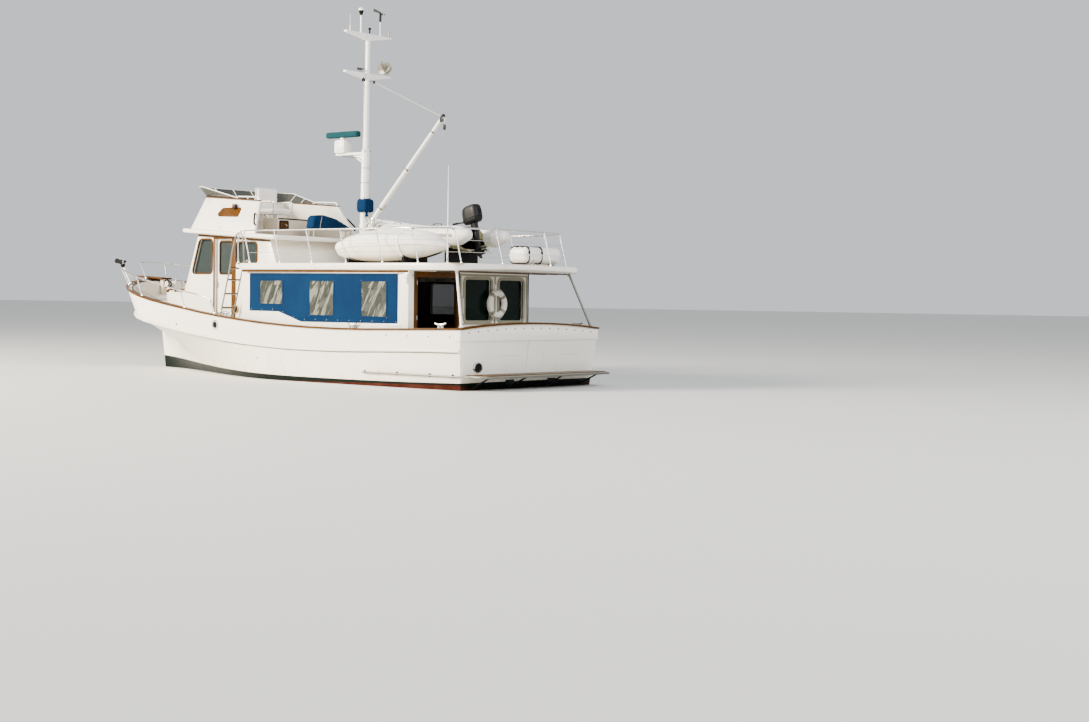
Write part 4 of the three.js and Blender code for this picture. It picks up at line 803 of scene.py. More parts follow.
def mast_gear():
    """Collars, bolts, whips, lamps, horns and the wind gauge."""
    bm, dark, glass, steel = blanks(4)
    for z, radius in ((4.64, 0.083), (5.4, 0.06), (6.03, 0.058), (6.83, 0.05), (3.32, 0.089), (2.9, 0.09)):
        lathe(bm, [(radius - 0.012, -0.03), (radius, -0.028), (radius, 0.028), (radius - 0.012, 0.03)],
              facing((mast_x(z), 0, z)), 24)
    for z, radius in ((4.64, 0.083), (3.68, 0.088)):
        for k in range(4):
            way = Matrix.Rotation(k * math.pi / 2 + 0.6, 4, "Z") @ Vector((-1, 0, 0))
            middle = Vector((mast_x(z), 0, z))
            peg(dark, middle + way * (radius - 0.01), middle + way * (radius + 0.014), 0.013)
    for z in (SPREADERS["low"], SPREADERS["high"]):
        back = mast_x(z) - SPREADERS["thick"] / 2
        for y in (-0.09, 0.09):
            for low in (0.03, 0.08):
                peg(dark, (back + 0.004, y, z - low), (back - 0.008, y, z - low), 0.009)
        for side in SIDES:
            block(bm, (back - 0.004, min(side * 0.05, side * 0.13), z - 0.11),
                  (back, max(side * 0.05, side * 0.13), z - 0.012), 0.0015)
    high, low = SPREADERS["high"], SPREADERS["low"]
    gauge = Vector((mast_x(high), -0.345, high))
    lathe(bm, [(0, 0), (0.022, 0), (0.022, 0.012), (0.01, 0.02), (0.008, 0.32), (0, 0.32)], facing(gauge),
          16)
    body = gauge + Vector((0, 0, 0.29))
    lathe(dark, [(0, 0), (0.018, 0.0), (0.026, 0.03), (0.026, 0.16), (0.018, 0.2), (0, 0.205)],
          facing(body), 18)
    head = body + Vector((0, 0, 0.185))
    arm = [head, head + Vector((0.07, 0.02, 0.035)), head + Vector((0.15, 0.045, 0.07))]
    sweep(dark, arm, [(0.008, 0.02), (0.007, 0.026), (0.006, 0.032)], 8, up=(0, 0, 1))
    sweep(dark, [head, head - Vector((0.05, 0.02, 0.01))], 0.004, 8)
    for k in range(3):
        spot = head - Vector((0.055, 0.02, 0.035))
        cup = Matrix.Rotation(k * math.tau / 3, 4, "Z") @ Vector((0.035, 0, 0))
        peg(dark, spot, spot + cup, 0.0025)
        ball(dark, spot + cup, (0.014, 0.014, 0.014), 10)
    sweep(dark, [head - Vector((0.05, 0.02, 0.01)), head - Vector((0.055, 0.02, 0.035))], 0.004, 8)
    lathe(bm, [(0, 0), (0.024, 0), (0.024, 0.01), (0.011, 0.025), (0.009, 0.1), (0.004, 0.12),
               (0.0025, 0.34), (0, 0.34)],
          facing((mast_x(high), 0.52, high)), 14)
    lathe(steel, [(0, 0), (0.02, 0), (0.02, 0.01), (0.013, 0.016), (0.014, 0.11), (0.009, 0.13),
                  (0, 0.132)],
          facing((mast_x(high), -0.6, high)), 16)
    for y in (0.155, 0.215):
        lathe(dark, [(0, 0), (0.012, 0), (0.013, 0.06), (0.026, 0.1), (0.03, 0.105), (0.027, 0.098),
                     (0, 0.07)],
              facing((mast_x(low) - 0.05, y, low + 0.075), (1, 0, 0.06)), 16)
        sweep(dark, [(mast_x(low), y, low), (mast_x(low), y, low + 0.075)], 0.006, 8)
    lamp = facing((mast_x(low) - 0.02, 0.14, low - 0.105), (-0.5, 0.25, -1))
    lathe(dark, [(0, -0.01), (0.018, 0), (0.036, 0.04), (0.04, 0.065), (0.034, 0.065), (0.0, 0.05)], lamp,
          20)
    lathe(glass, [(0, 0.058), (0.034, 0.056), (0.034, 0.06), (0, 0.063)], lamp, 20)
    hang = LIFT_TOP + Vector((0, 0, 0.03))
    sweep(steel, [(mast_x(hang.z) - 0.04, 0, hang.z), hang + Vector((-0.015, 0, 0))], (0.012, 0.006), 4,
          up=(0, 0, 1))
    block_shell = blank()
    for side in SIDES:
        lathe(block_shell, [(0, 0), (0.026, 0), (0.03, 0.004), (0.022, 0.008), (0, 0.009)],
              facing(LIFT_TOP + Vector((0, side * 0.008, 0)), (0, side, 0)), 18)
    peg(block_shell, LIFT_TOP + Vector((0, 0, -0.002)), hang, 0.006)
    piece("lift_block", block_shell, BLACK, body=body_of("gooseneck"))
    for z, way in ((2.75, 1), (2.95, -1), (3.05, 1)):
        cleat(bm, (mast_x(z), way * 0.088, z), (0, way, 0), (0, 0, 1), 0.11)
    piece("mast_fittings", bm, MAST_PAINT)
    piece("masthead_instruments", dark, BLACK)
    piece("masthead_steel", steel, DULL_STEEL)
    piece("spreader_lamp_glass", glass, SCREEN)


def cleat(bm, place, out, along, length):
    """A horn cleat: two feet and a bar whose ends lift away."""
    place, out, along = Vector(place), Vector(out).normalized(), Vector(along).normalized()
    thick = length * 0.07
    for end in SIDES:
        foot = place + along * end * length * 0.16
        sweep(bm, [foot - out * thick, foot + out * length * 0.22], [thick * 1.5, thick * 1.1], 10)
    horns = [place + along * t * length / 2 + out * length * (0.24 + 0.1 * t * t)
             for t in (-1, -0.6, 0, 0.6, 1)]
    sweep(bm, flowing(horns, 0.5, 3), [thick * (0.75 + 0.6 * (1 - abs(1 - k / 6))) for k in range(13)], 10)


def lines_aloft():
    """Halyards and the topping lift: thin lines that are all held tight."""
    halyards = blank()
    for y, top, low in ((0.07, 6.85, 2.95), (-0.07, 6.05, 2.75), (0.085, 6.05, 3.05)):
        shift = 0.1 if y > 0 else 0.07
        sweep(halyards, [(mast_x(top) - 0.03, y * 1.6, top), (mast_x(low) - shift, y * 1.3, low)], 0.004, 6)
    piece("halyards", halyards, ROPE)
    lift = blank()
    ends = LIFT_TOP, BOOM_TIP + Vector((0.06, 0, 0.02))
    sweep(lift, [ends[0].lerp(ends[1], k / 24) for k in range(25)], 0.004, 6)
    topping = piece("topping_lift", lift, ROPE, body=None)
    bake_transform(topping)


def boom_gear():
    """Bands with eyes, the block and hook at the tip, and the fall along the boom."""
    dark, steel, rope = blanks(3)
    way = (BOOM_TIP - GOOSENECK).normalized()
    under = Vector((way.z, 0, -way.x))
    if under.z > 0:
        under = -under
    lathe(dark, [(0, -0.06), (0.03, -0.06), (0.036, -0.03), (0.036, 0.05), (0.0, 0.055)],
          facing(BOOM_TIP, way))
    for share in (0.12, 0.5, 0.86):
        radius = 0.048 - 0.02 * share + 0.003
        lathe(steel, [(radius - 0.006, -0.02), (radius, -0.018), (radius, 0.018), (radius - 0.006, 0.02)],
              facing(GOOSENECK.lerp(BOOM_TIP, share), way))
        eye = GOOSENECK.lerp(BOOM_TIP, share) + under * (radius + 0.016)
        ring = [eye + (way * math.cos(a) + under * math.sin(a)) * 0.018
                for a in (k * math.pi / 6 for k in range(12))]
        sweep(steel, ring, 0.004, 6, closed=True)
    shell = BOOM_TIP + Vector((0, 0, -0.06))
    for side in SIDES:
        lathe(dark, [(0, 0), (0.05, 0), (0.055, 0.006), (0.04, 0.012), (0, 0.014)],
              facing(shell + Vector((0, side * 0.024, 0)), (0, side, 0)))
    hook_top = shell + Vector((-0.05, 0, -0.11))
    block(dark, hook_top + Vector((-0.028, -0.02, -0.09)), hook_top + Vector((0.028, 0.02, 0.02)), 0.014, 3)
    sweep(rope, [shell + Vector((-0.052, 0, -0.01)), hook_top + Vector((-0.01, 0, 0.01))], 0.005, 8)
    hook = [hook_top + Vector(p) for p in ((0, 0, -0.09), (0, 0, -0.13), (0.03, 0, -0.16),
                                           (0.028, 0, -0.205),
                                           (-0.005, 0, -0.22), (-0.035, 0, -0.2), (-0.042, 0, -0.165))]
    sweep(steel, flowing(hook, 0.5, 4), 0.007, 8)
    fall = [shell + Vector((0.03, 0, -0.045)), GOOSENECK + way * 0.25 + under * 0.075]
    sweep(rope, fall, 0.005, 8)
    cleat(steel, GOOSENECK + way * 0.42 + under * 0.04, under, way, 0.13)
    piece("boom_steel", steel, DULL_STEEL, body="boom")
    piece("boom_block", dark, BLACK, body="boom")
    piece("boom_fall", rope, ROPE, body="boom")


mast_gear()
lines_aloft()
boom_gear()


# Pilothouse trim
HOUSE_HALF, DOOR_FACE = 1.45, 1.391
SIDE_PANES = {"fore": [(1.5, 2.12), (2.12, 2.12), (1.88, 2.82), (1.49, 2.82)],
              "aft": [(0.11, 2.33), (0.74, 2.33), (0.74, 2.75), (0.11, 2.75)]}
FRONT_PANES = [(-1.29, -0.48), (-0.4, 0.4), (0.48, 1.29)]
FRONT_PANE_Z = (2.13, 2.8)


def front_x(z):
    return 1.96 - 0.371 * (z - 2.86)


def widened(outline, by):
    """An outline moved outwards from its middle by the same amount each way."""
    middle = sum(map(Vector, outline), Vector((0, 0, 0))) / len(outline)
    return [Vector(p[i] + math.copysign(by, p[i] - middle[i]) if abs(p[i] - middle[i]) > 1e-4 else p[i]
                   for i in range(3)) for p in outline]


def window_trim(wood, rubber, outline, out, width=0.016):
    """A moulded frame round a pane, and the black seal inside it."""
    out = Vector(out).normalized()
    frame_line = [p + out * 0.007 for p in rounded(widened(outline, width * 0.75), 0.1, 5, closed=True)]
    sweep(wood, frame_line, (width, 0.009), 4, up=tuple(out), closed=True)
    seal_line = [p - out * 0.004 for p in rounded(widened(outline, -0.004), 0.075, 5, closed=True)]
    sweep(rubber, seal_line, (0.009, 0.013), 4, up=tuple(out), closed=True)


def pilothouse_trim():
    """Window frames and seals, the wood round the doorways, and the wipers."""
    wood, rubber = blanks(2)
    for side in SIDES:
        face = side * HOUSE_HALF
        for outline in SIDE_PANES.values():
            window_trim(wood, rubber, [Vector((x, face, z)) for x, z in outline], (0, side, 0))
        for low, high in (((0.745, 1.1), (0.875, 2.845)), ((1.405, 1.1), (1.45, 2.862))):
            ys = sorted((face - side * 0.05, face + side * 0.012))
            block(wood, (low[0], ys[0], low[1]), (high[0], ys[1], high[1]), 0.006)
        block(wood, (0.74, min(face, face + side * 0.014), 2.826),
              (1.45, max(face, face + side * 0.014), 2.862), 0.005)
        slope = [(-0.3, face + side * 0.012, 2.775), (1.92, face + side * 0.012, 2.912)]
        sweep(wood, slope, (0.02, 0.014), 4, up=(0, side, 0))
        block(wood, (0.8, min(face - side * 0.08, face + side * 0.03), 1.07),
              (1.45, max(face - side * 0.08, face + side * 0.03), 1.1), 0.006)
    out = Vector((1, 0, 0.371)).normalized()
    for low, high in FRONT_PANES:
        corners = [Vector((front_x(z), y, z)) for y, z in square(low, high, *FRONT_PANE_Z)]
        window_trim(wood, rubber, corners, out)
    soften(wood, 0.003)
    piece("pilothouse_wood", wood, TEAK_UP)
    piece("pilothouse_seals", rubber, RUBBER)
    wipers = blank()
    for low, high in FRONT_PANES:
        middle = (low + high) / 2
        pivot = Vector((front_x(2.07), middle, 2.07)) + out * 0.01
        peg(wipers, pivot, pivot + out * 0.04, 0.018)
        reach = Vector((front_x(2.5), middle - 0.14, 2.5)) + out * 0.035
        sweep(wipers, [pivot + out * 0.035, reach], 0.006, 8)
        top, foot = (Vector((front_x(z), middle - 0.2 + 0.05 * (2.7 - z), z)) + out * 0.02
                     for z in (2.75, 2.22))
        sweep(wipers, [foot, top], (0.006, 0.014), 4, up=tuple(out))
    piece("wipers", wipers, RUBBER)


def door_gear():
    """Handles, kick plates and seals, which slide with the two side doors."""
    for side in SIDES:
        steel, rubber, glass, wood = blanks(4)
        face = side * DOOR_FACE
        where = "port" if side > 0 else "starboard"
        light = [Vector((x, face, z)) for x, z in square(0.935, 1.315, 2.11, 2.77)]
        sweep(rubber, [p - Vector((0, side * 0.003, 0)) for p in rounded(light, 0.065, 6, closed=True)],
              (0.011, 0.006), 4, up=(0, side, 0), closed=True)
        trim = rounded(widened(light, 0.015), 0.08, 6, closed=True)
        sweep(wood, [p + Vector((0, side * 0.001, 0)) for p in trim], (0.013, 0.003), 4,
              up=(0, side, 0), closed=True)
        pane = rounded(widened(light, -0.002), 0.06, 6, closed=True)
        for depth, lift in ((0.0152, -0.001), (0.0228, 0.001)):
            plate(glass, [p - Vector((0, side * depth, 0)) for p in pane], -lift)
        handle = [(x, face + side * 0.0015, z) for x, z in square(1.336, 1.384, 1.85, 2.0)]
        sweep(steel, rounded(handle, 0.02, 4, closed=True), 0.0045, 8, closed=True)
        ys = sorted((face, face + side * 0.002))
        block(steel, (0.9, ys[0], 1.13), (1.38, ys[1], 1.3), 0.0008)
        block(steel, (1.335, ys[0], 1.8), (1.385, face + side * 0.004 if side > 0 else ys[1], 1.95), 0.001)
        for name, bm, finish in (("steel", steel, RAIL), ("seal", rubber, RUBBER), ("glass", glass, GLASS),
                                 ("frame", wood, TEAK_UP)):
            piece(f"door_{name}_{where}", bm, finish, body=body_of(f"pilothouse_door_{where}"))


# Flybridge
RIM = {"aft": 0.37, "half": 1.15, "fore": 2.13, "radius": 0.12, "thick": 0.06}
SCREEN_FORM = {"aft": 1.06, "rise": (0.035, 0.22), "lean": (0.02, 0.17)}
HELM_Y = 0.25


def rim_z(x):
    return 3.585 + 0.0705 * x


def u_plan(aft, half, fore, radius, steps=6):
    """Points from the port quarter round the front to the starboard quarter, each with its way outwards."""
    side = [(aft + (fore - radius - aft) * k / 8, half, Vector((0, 1, 0))) for k in range(8)]
    arc = []
    for k in range(steps + 1):
        angle = math.pi / 2 * (1 - k / steps)
        out = Vector((math.cos(angle), math.sin(angle), 0))
        arc.append((fore - radius + radius * out.x, half - radius + radius * out.y, out))
    port = [*side, *arc]
    return port + [(x, -y, Vector((out.x, -out.y, 0))) for x, y, out in reversed(port)]


def screen_frame():
    """The trim along the top of the flybridge screen, its struts and the teak cap of the rim."""
    wood, trim = blanks(2)
    middle = RIM["half"] - RIM["thick"] / 2, RIM["fore"] - RIM["thick"] / 2
    cap = u_plan(RIM["aft"] + 0.02, *middle, RIM["radius"] - 0.03)
    sweep(wood, [(x, y, rim_z(x) + 0.012) for x, y, _ in cap], (0.044, 0.011), 4, up=(0, 0, 1))
    soften(wood, 0.004)
    piece("rim_cap", wood, TEAK)
    foot = u_plan(SCREEN_FORM["aft"], *middle, RIM["radius"] - 0.03)
    top = []
    for x, y, out in foot:
        share = min(max((x - SCREEN_FORM["aft"]) / (RIM["fore"] - RIM["radius"] - SCREEN_FORM["aft"]), 0),
                    1)
        (rise0, rise1), (lean0, lean1) = SCREEN_FORM["rise"], SCREEN_FORM["lean"]
        top.append(Vector((x, y, rim_z(x) + rise0 + (rise1 - rise0) * share))
                   + out * (lean0 + (lean1 - lean0) * share + 0.004))
    sweep(trim, top, 0.009, 8)
    for at in (1.2, 1.55, 1.92):
        for side in SIDES:
            k = min(range(8), key=lambda k: abs(foot[k][0] - at))
            base = Vector((foot[k][0], side * (middle[0] - 0.02), rim_z(foot[k][0]) + 0.02))
            tip = Vector((top[k].x, side * top[k].y, top[k].z))
            sweep(trim, [base, tip], 0.008, 8)
    for y in (-0.75, -0.25, 0.25, 0.75):
        sweep(trim, [(middle[1] - 0.02, y, rim_z(middle[1]) + 0.02), (top[12].x, y, top[12].z)], 0.008, 8)
    for side in SIDES:
        y = side * (RIM["half"] - 0.03)
        rail = [(1.13, y, rim_z(1.13) + 0.02), (1.09, y, 3.725), (0.46, y, 3.7),
                (0.41, y, rim_z(0.41) + 0.02)]
        sweep(trim, rounded(rail, 0.04), 0.013, 10)
        sweep(trim, [(0.77, y, rim_z(0.77) + 0.02), (0.77, y, 3.712)], 0.01, 8)
    piece("screen_frame", trim, MAST_PAINT)


def on_side(x, z, side, lift=0.0):
    """A point on the flybridge's outer side."""
    point, normal = onto("flybridge_coaming", (x, side * 3, z), (0, -side, 0))
    return point + normal * lift, normal


SIDELIGHT = [(1.49, 3.36), (1.4, 3.49), (0.85, 3.49), (0.81, 3.45), (0.82, 3.28), (1.42, 3.3)]


def flybridge_sides():
    """The boards with the side lights, the grab handles and the rows of screws."""
    wood, dark, steel, red, green = blanks(5)
    for side, lens in ((1, red), (-1, green)):
        board = [on_side(x, z, side, 0.006)[0] for x, z in SIDELIGHT]
        _, out = on_side(1.1, 3.4, side)
        board = rounded(board, 0.03, 3, closed=True)
        plate(wood, board if side < 0 else board[::-1], 0.022)
        foot, _ = on_side(1.0, 3.47, side, 0.03)
        block(dark, foot + Vector((-0.05, -0.035, -0.02)), foot + Vector((0.05, 0.035, 0.075)), 0.01)
        lathe(lens, [(0, 0), (0.024, 0), (0.026, 0.01), (0.026, 0.05), (0.02, 0.06), (0, 0.062)],
              facing(foot + Vector((0.03, side * 0.02, 0.0))), 16)
        low, _ = on_side(0.2, 3.1, side, 0.005)
        high, _ = on_side(0.34, 3.34, side, 0.005)
        bow = [low, low + out * 0.05 + Vector((-0.01, 0, 0.03)),
               high + out * 0.05 + Vector((-0.03, 0, -0.03)), high]
        sweep(dark, flowing(bow, 0.4, 6), 0.019, 10)
        for x in (0.55, 1.2, 1.8):
            lathe(steel, [(0, 0), (0.012, 0), (0.012, 0.003), (0, 0.006)],
                  facing(*on_side(x, 2.99 + 0.06 * x, side)), 10)
    soften(wood, 0.005)
    piece("sidelight_boards", wood, TEAK)
    piece("flybridge_black", dark, BLACK)
    piece("flybridge_screws", steel, RAIL)
    piece("sidelight_red", red, RED_LENS)
    piece("sidelight_green", green, GREEN_LENS)


def helm_console():
    """Dials, compass, levers and the wheel."""
    dark, steel, faces = blanks(3)
    slope = (Vector((1.56, 0, 3.64)) - Vector((1.42, 0, 3.5))).normalized()
    out = Vector((-slope.z, 0, slope.x))
    at = lambda along, y, lift=0.0: Vector((1.42, HELM_Y + y, 3.5)) + slope * along + out * lift
    for y, size in ((-0.3, 0.045), (-0.18, 0.045), (0.18, 0.045), (0.3, 0.045), (-0.06, 0.035),
                    (0.06, 0.035)):
        lathe(steel, [(0, 0), (size, 0), (size, 0.008), (size - 0.006, 0.01), (size - 0.006, 0.004),
                      (0, 0.004)],
              facing(at(0.1, y), out))
        lathe(faces, [(0, 0.0045), (size - 0.006, 0.0045), (size - 0.006, 0.006), (0, 0.006)],
              facing(at(0.1, y), out))
    lathe(dark, [(0, 0), (0.075, 0), (0.08, 0.02), (0.065, 0.05), (0.0, 0.06)],
          facing((1.66, HELM_Y, 3.64)))
    ball(faces, (1.66, HELM_Y, 3.69), 0.055)
    for y in (-0.34, 0.34):
        block(dark, (1.62, HELM_Y + y - 0.05, 3.64), (1.72, HELM_Y + y + 0.05, 3.665), 0.008)
        sweep(steel, [(1.67, HELM_Y + y, 3.66), (1.65, HELM_Y + y, 3.75)], 0.007, 8)
        ball(dark, (1.648, HELM_Y + y, 3.76), 0.018, 14)
    for k in range(6):
        block(dark, at(0.025, -0.2 + k * 0.08 - 0.008), at(0.05, -0.2 + k * 0.08 + 0.008, 0.01), 0.002)
    hub = Vector((1.32, HELM_Y, 3.43))
    wheel = blank()
    rim = [hub + Vector((0, math.cos(a), math.sin(a))) * 0.19
           for a in (k * math.pi / 24 for k in range(48))]
    sweep(wheel, rim, 0.0135, 12, closed=True)
    for k in range(3):
        a = k * math.tau / 3 + math.pi / 2
        way = Vector((0, math.cos(a), math.sin(a)))
        sweep(wheel, [hub + way * 0.02, hub + way * 0.1 + Vector((-0.006, 0, 0)), hub + way * 0.185],
              [0.011, 0.009, 0.008])
    lathe(wheel, [(0, 0), (0.03, 0), (0.045, 0.012), (0.04, 0.03), (0.026, 0.045), (0.026, 0.12),
                  (0, 0.12)],
          facing(hub - Vector((0.02, 0, 0)), (1, 0, 0)))
    piece("console_black", dark, BLACK)
    piece("console_steel", steel, RAIL)
    piece("console_dials", faces, SCREEN)
    piece("steering_wheel", wheel, RAIL, replaces="helm_wheel")


def flybridge_locker():
    """The small framed door, and the dark edge of the locker's lid."""
    dark, steel, wood = blanks(3)
    x = 0.2
    door = [Vector((x, y, z)) for y, z in square(0.52, 0.75, 3.05, 3.215)]
    sweep(dark, [p + Vector((-0.006, 0, 0)) for p in rounded(door, 0.02, 4, closed=True)], (0.016, 0.008),
          4,
          up=(-1, 0, 0), closed=True)
    block(wood, (x - 0.006, 0.53, 3.06), (x - 0.0005, 0.74, 3.205), 0.002)
    sweep(dark, [(x - 0.006, -0.98, 3.268), (x - 0.006, 0.79, 3.268)], (0.012, 0.008), 4, up=(-1, 0, 0))
    for y in (-0.7, -0.1):
        block(steel, (x - 0.008, y, 3.2), (x, y + 0.05, 3.29), 0.002)
    latch = Vector((x - 0.004, 0.56, 3.13))
    ring = [latch + Vector((0, math.cos(a), math.sin(a))) * 0.018
            for a in (k * math.pi / 8 for k in range(16))]
    sweep(steel, ring, 0.003, 6, closed=True)
    soften(dark, 0.003)
    piece("locker_dark", dark, BLACK)
    piece("locker_steel", steel, RAIL)
    piece("locker_door", wood, TEAK_UP)


# Saloon and cockpit
BULKHEAD = -4.7
SALOON_FACES = {"port": 2.05, "starboard": -1.45}
AFT_WINDOWS = [(-0.29, 0.48), (-1.27, -0.53)]
SIDE_WINDOWS = [(-1.33, -0.67, 1.5), (-2.75, -2.09, 1.3), (-4.15, -3.5, 1.3)]


def bulkhead_trim():
    """The moulded window frames, the doorway's wood and the fittings on the aft wall of the saloon."""
    grey, rubber, wood, steel = blanks(4)
    out = Vector((-1, 0, 0))
    for low, high in AFT_WINDOWS:
        corners = [Vector((BULKHEAD, y, z)) for y, z in square(low, high, 1.24, 2.04)]
        window_trim(grey, rubber, corners, out, 0.03)
    block(grey, (BULKHEAD - 0.012, -1.4, 1.17), (BULKHEAD, 0.62, 1.2), 0.004)
    block(grey, (BULKHEAD - 0.012, -1.4, 2.1), (BULKHEAD, 0.62, 2.14), 0.004)
    for y in (-1.385, -0.41, 0.605):
        block(grey, (BULKHEAD - 0.012, y - 0.02, 1.2), (BULKHEAD, y + 0.02, 2.1), 0.004)
    block(rubber, (BULKHEAD - 0.01, -1.45, 0.7), (BULKHEAD, -1.425, 2.17), 0.003)
    for y0, y1 in ((0.64, 0.69), (1.81, 1.9)):
        block(wood, (BULKHEAD - 0.016, y0, 0.46), (BULKHEAD + 0.055, y1, 2.07), 0.006)
    block(wood, (BULKHEAD - 0.018, 0.64, 2.05), (BULKHEAD + 0.055, 1.9, 2.16), 0.006)
    block(wood, (BULKHEAD - 0.04, 0.64, 0.42), (BULKHEAD + 0.06, 1.86, 0.475), 0.008)
    for z in (0.75, 1.3, 1.95):
        peg(steel, (BULKHEAD - 0.018, 1.83, z - 0.04), (BULKHEAD - 0.018, 1.83, z + 0.04), 0.006)
    block(steel, (BULKHEAD - 0.03, 1.93, 2.04), (BULKHEAD, 1.965, 2.1), 0.004)
    handle = [(BULKHEAD, 0.575, 1.35), (BULKHEAD - 0.05, 0.575, 1.37), (BULKHEAD - 0.05, 0.575, 1.68),
              (BULKHEAD, 0.575, 1.7)]
    sweep(steel, rounded(handle, 0.03), 0.011, 12)
    soften(wood, 0.003)
    piece("bulkhead_frames", grey, FRAME_GREY)
    piece("bulkhead_seals", rubber, RUBBER)
    piece("doorway_wood", wood, TEAK_UP)
    piece("bulkhead_steel", steel, RAIL)
    seal, glass = blanks(2)
    x = BULKHEAD + 0.059
    light = [Vector((x, y, z)) for y, z in square(-0.42, 0.55, 1.36, 1.94)]
    sweep(seal, rounded(light, 0.06, 5, closed=True), (0.01, 0.005), 4, up=tuple(out), closed=True)
    pane = [p + Vector((0.0145, 0, 0)) for p in rounded(widened(light, -0.003), 0.06, 5, closed=True)]
    plate(glass, pane, -0.001)
    piece("saloon_door_seal", seal, RUBBER, body=body_of("saloon_door"))
    piece("saloon_door_glass", glass, DEEP_GLASS, body=body_of("saloon_door"))


def side_window_trim():
    """Seals on both sides of the saloon, and moulded frames to starboard."""
    for where, face in SALOON_FACES.items():
        side = math.copysign(1, face)
        grey, rubber = blanks(2)
        for aft, fore, low in SIDE_WINDOWS:
            if side > 0:
                line = [Vector((x, face - 0.02, z)) for x, z in square(aft, fore, low, 1.96)]
                sweep(rubber, rounded(widened(line, -0.006), 0.07, 5, closed=True), (0.01, 0.012), 4,
                      up=(0, side, 0),
                      closed=True)
            else:
                corners = [Vector((x, face, z)) for x, z in square(aft, fore, low, 1.96)]
                window_trim(grey, rubber, corners, (0, side, 0), 0.03)
        piece(f"saloon_seals_{where}", rubber, RUBBER)
        if grey.verts:
            piece("saloon_frames_starboard", grey, FRAME_GREY)
        else:
            grey.free()


def deck_edge():
    """The trim under the edge of the boat deck, the canvas track and its end fitting."""
    wood, steel, dark, beams, end = blanks(5)
    for face in SALOON_FACES.values():
        ys = sorted((face, face + math.copysign(0.016, face)))
        block(wood, (-4.69, ys[0], 2.135), (-0.14, ys[1], 2.179), 0.005)
    block(steel, (-4.6, 2.05, 2.108), (-0.3, 2.066, 2.128), 0.003)
    for k in range(10):
        block(dark, (-0.75 - k * 0.41, 2.0595, 2.085), (-0.72 - k * 0.41, 2.0665, 2.112), 0.002)
    block(end, (-4.72, 2.052, 2.03), (-4.6, 2.1, 2.12), 0.012, 3)
    block(end, (-4.69, 2.052, 1.93), (-4.63, 2.08, 2.05), 0.01, 3)
    # The beams are given painted shade: the dark of the underside of the overhang.
    for x in (-5.0, -5.3, -5.58):
        sweep(beams, [(x, -1.6, 2.168), (x, 1.6, 2.168)], (0.02, 0.012), 4, up=(0, 0, 1))
    for x, y in ((-5.2, 0.9), (-5.2, -0.9)):
        lathe(steel, [(0, 0), (0.07, 0), (0.075, -0.012), (0.06, -0.02), (0, -0.03)], facing((x, y, 2.18)))
    piece("deck_edge_wood", wood, TEAK)
    piece("deck_beams", beams, BEAM_SHADE)
    piece("canvas_track", steel, DULL_STEEL)
    piece("canvas_track_end", end, PLASTIC)
    piece("canvas_slides", dark, BLACK)


def ring_buoy():
    """The buoy: bands round the ring and the rope held by them, on its bracket."""
    bands, rope, steel = blanks(3)
    centre = Vector((-4.761, -0.41, 1.567))
    at = lambda a, r: centre + Vector((0, math.cos(a), math.sin(a))) * r
    ring = [at(k * math.pi / 24, 0.215) for k in range(48)]
    body = blank()
    sweep(body, ring, 0.0595, 24, closed=True)
    piece("buoy_ring", body, PLASTIC, replaces="ring_buoy")
    for quarter in range(4):
        a = math.pi / 4 + quarter * math.pi / 2
        arc = [at(a - 0.16 + k * 0.08, 0.215) for k in range(5)]
        sweep(bands, arc, 0.0615, 24)
        sag = [at(a + t * math.pi / 2, 0.282 + 0.018 * math.sin(t * math.pi))
               for t in (k / 12 for k in range(13))]
        sweep(rope, sag, 0.0055, 8)
    block(steel, (-4.82, -0.432, 1.775), (-4.7, -0.388, 1.8), 0.006)
    block(steel, (-4.715, -0.435, 1.79), (-4.7, -0.385, 1.96), 0.004)
    piece("buoy_bands", bands, FRAME_GREY)
    piece("buoy_rope", rope, ROPE)
    piece("buoy_bracket", steel, RAIL)


# Hull fittings
def hull_point(x, z, side, lift=0.0):
    point, normal = onto("hull", (x, side * 4, z), (0, -side, 0))
    return point + normal * lift, normal


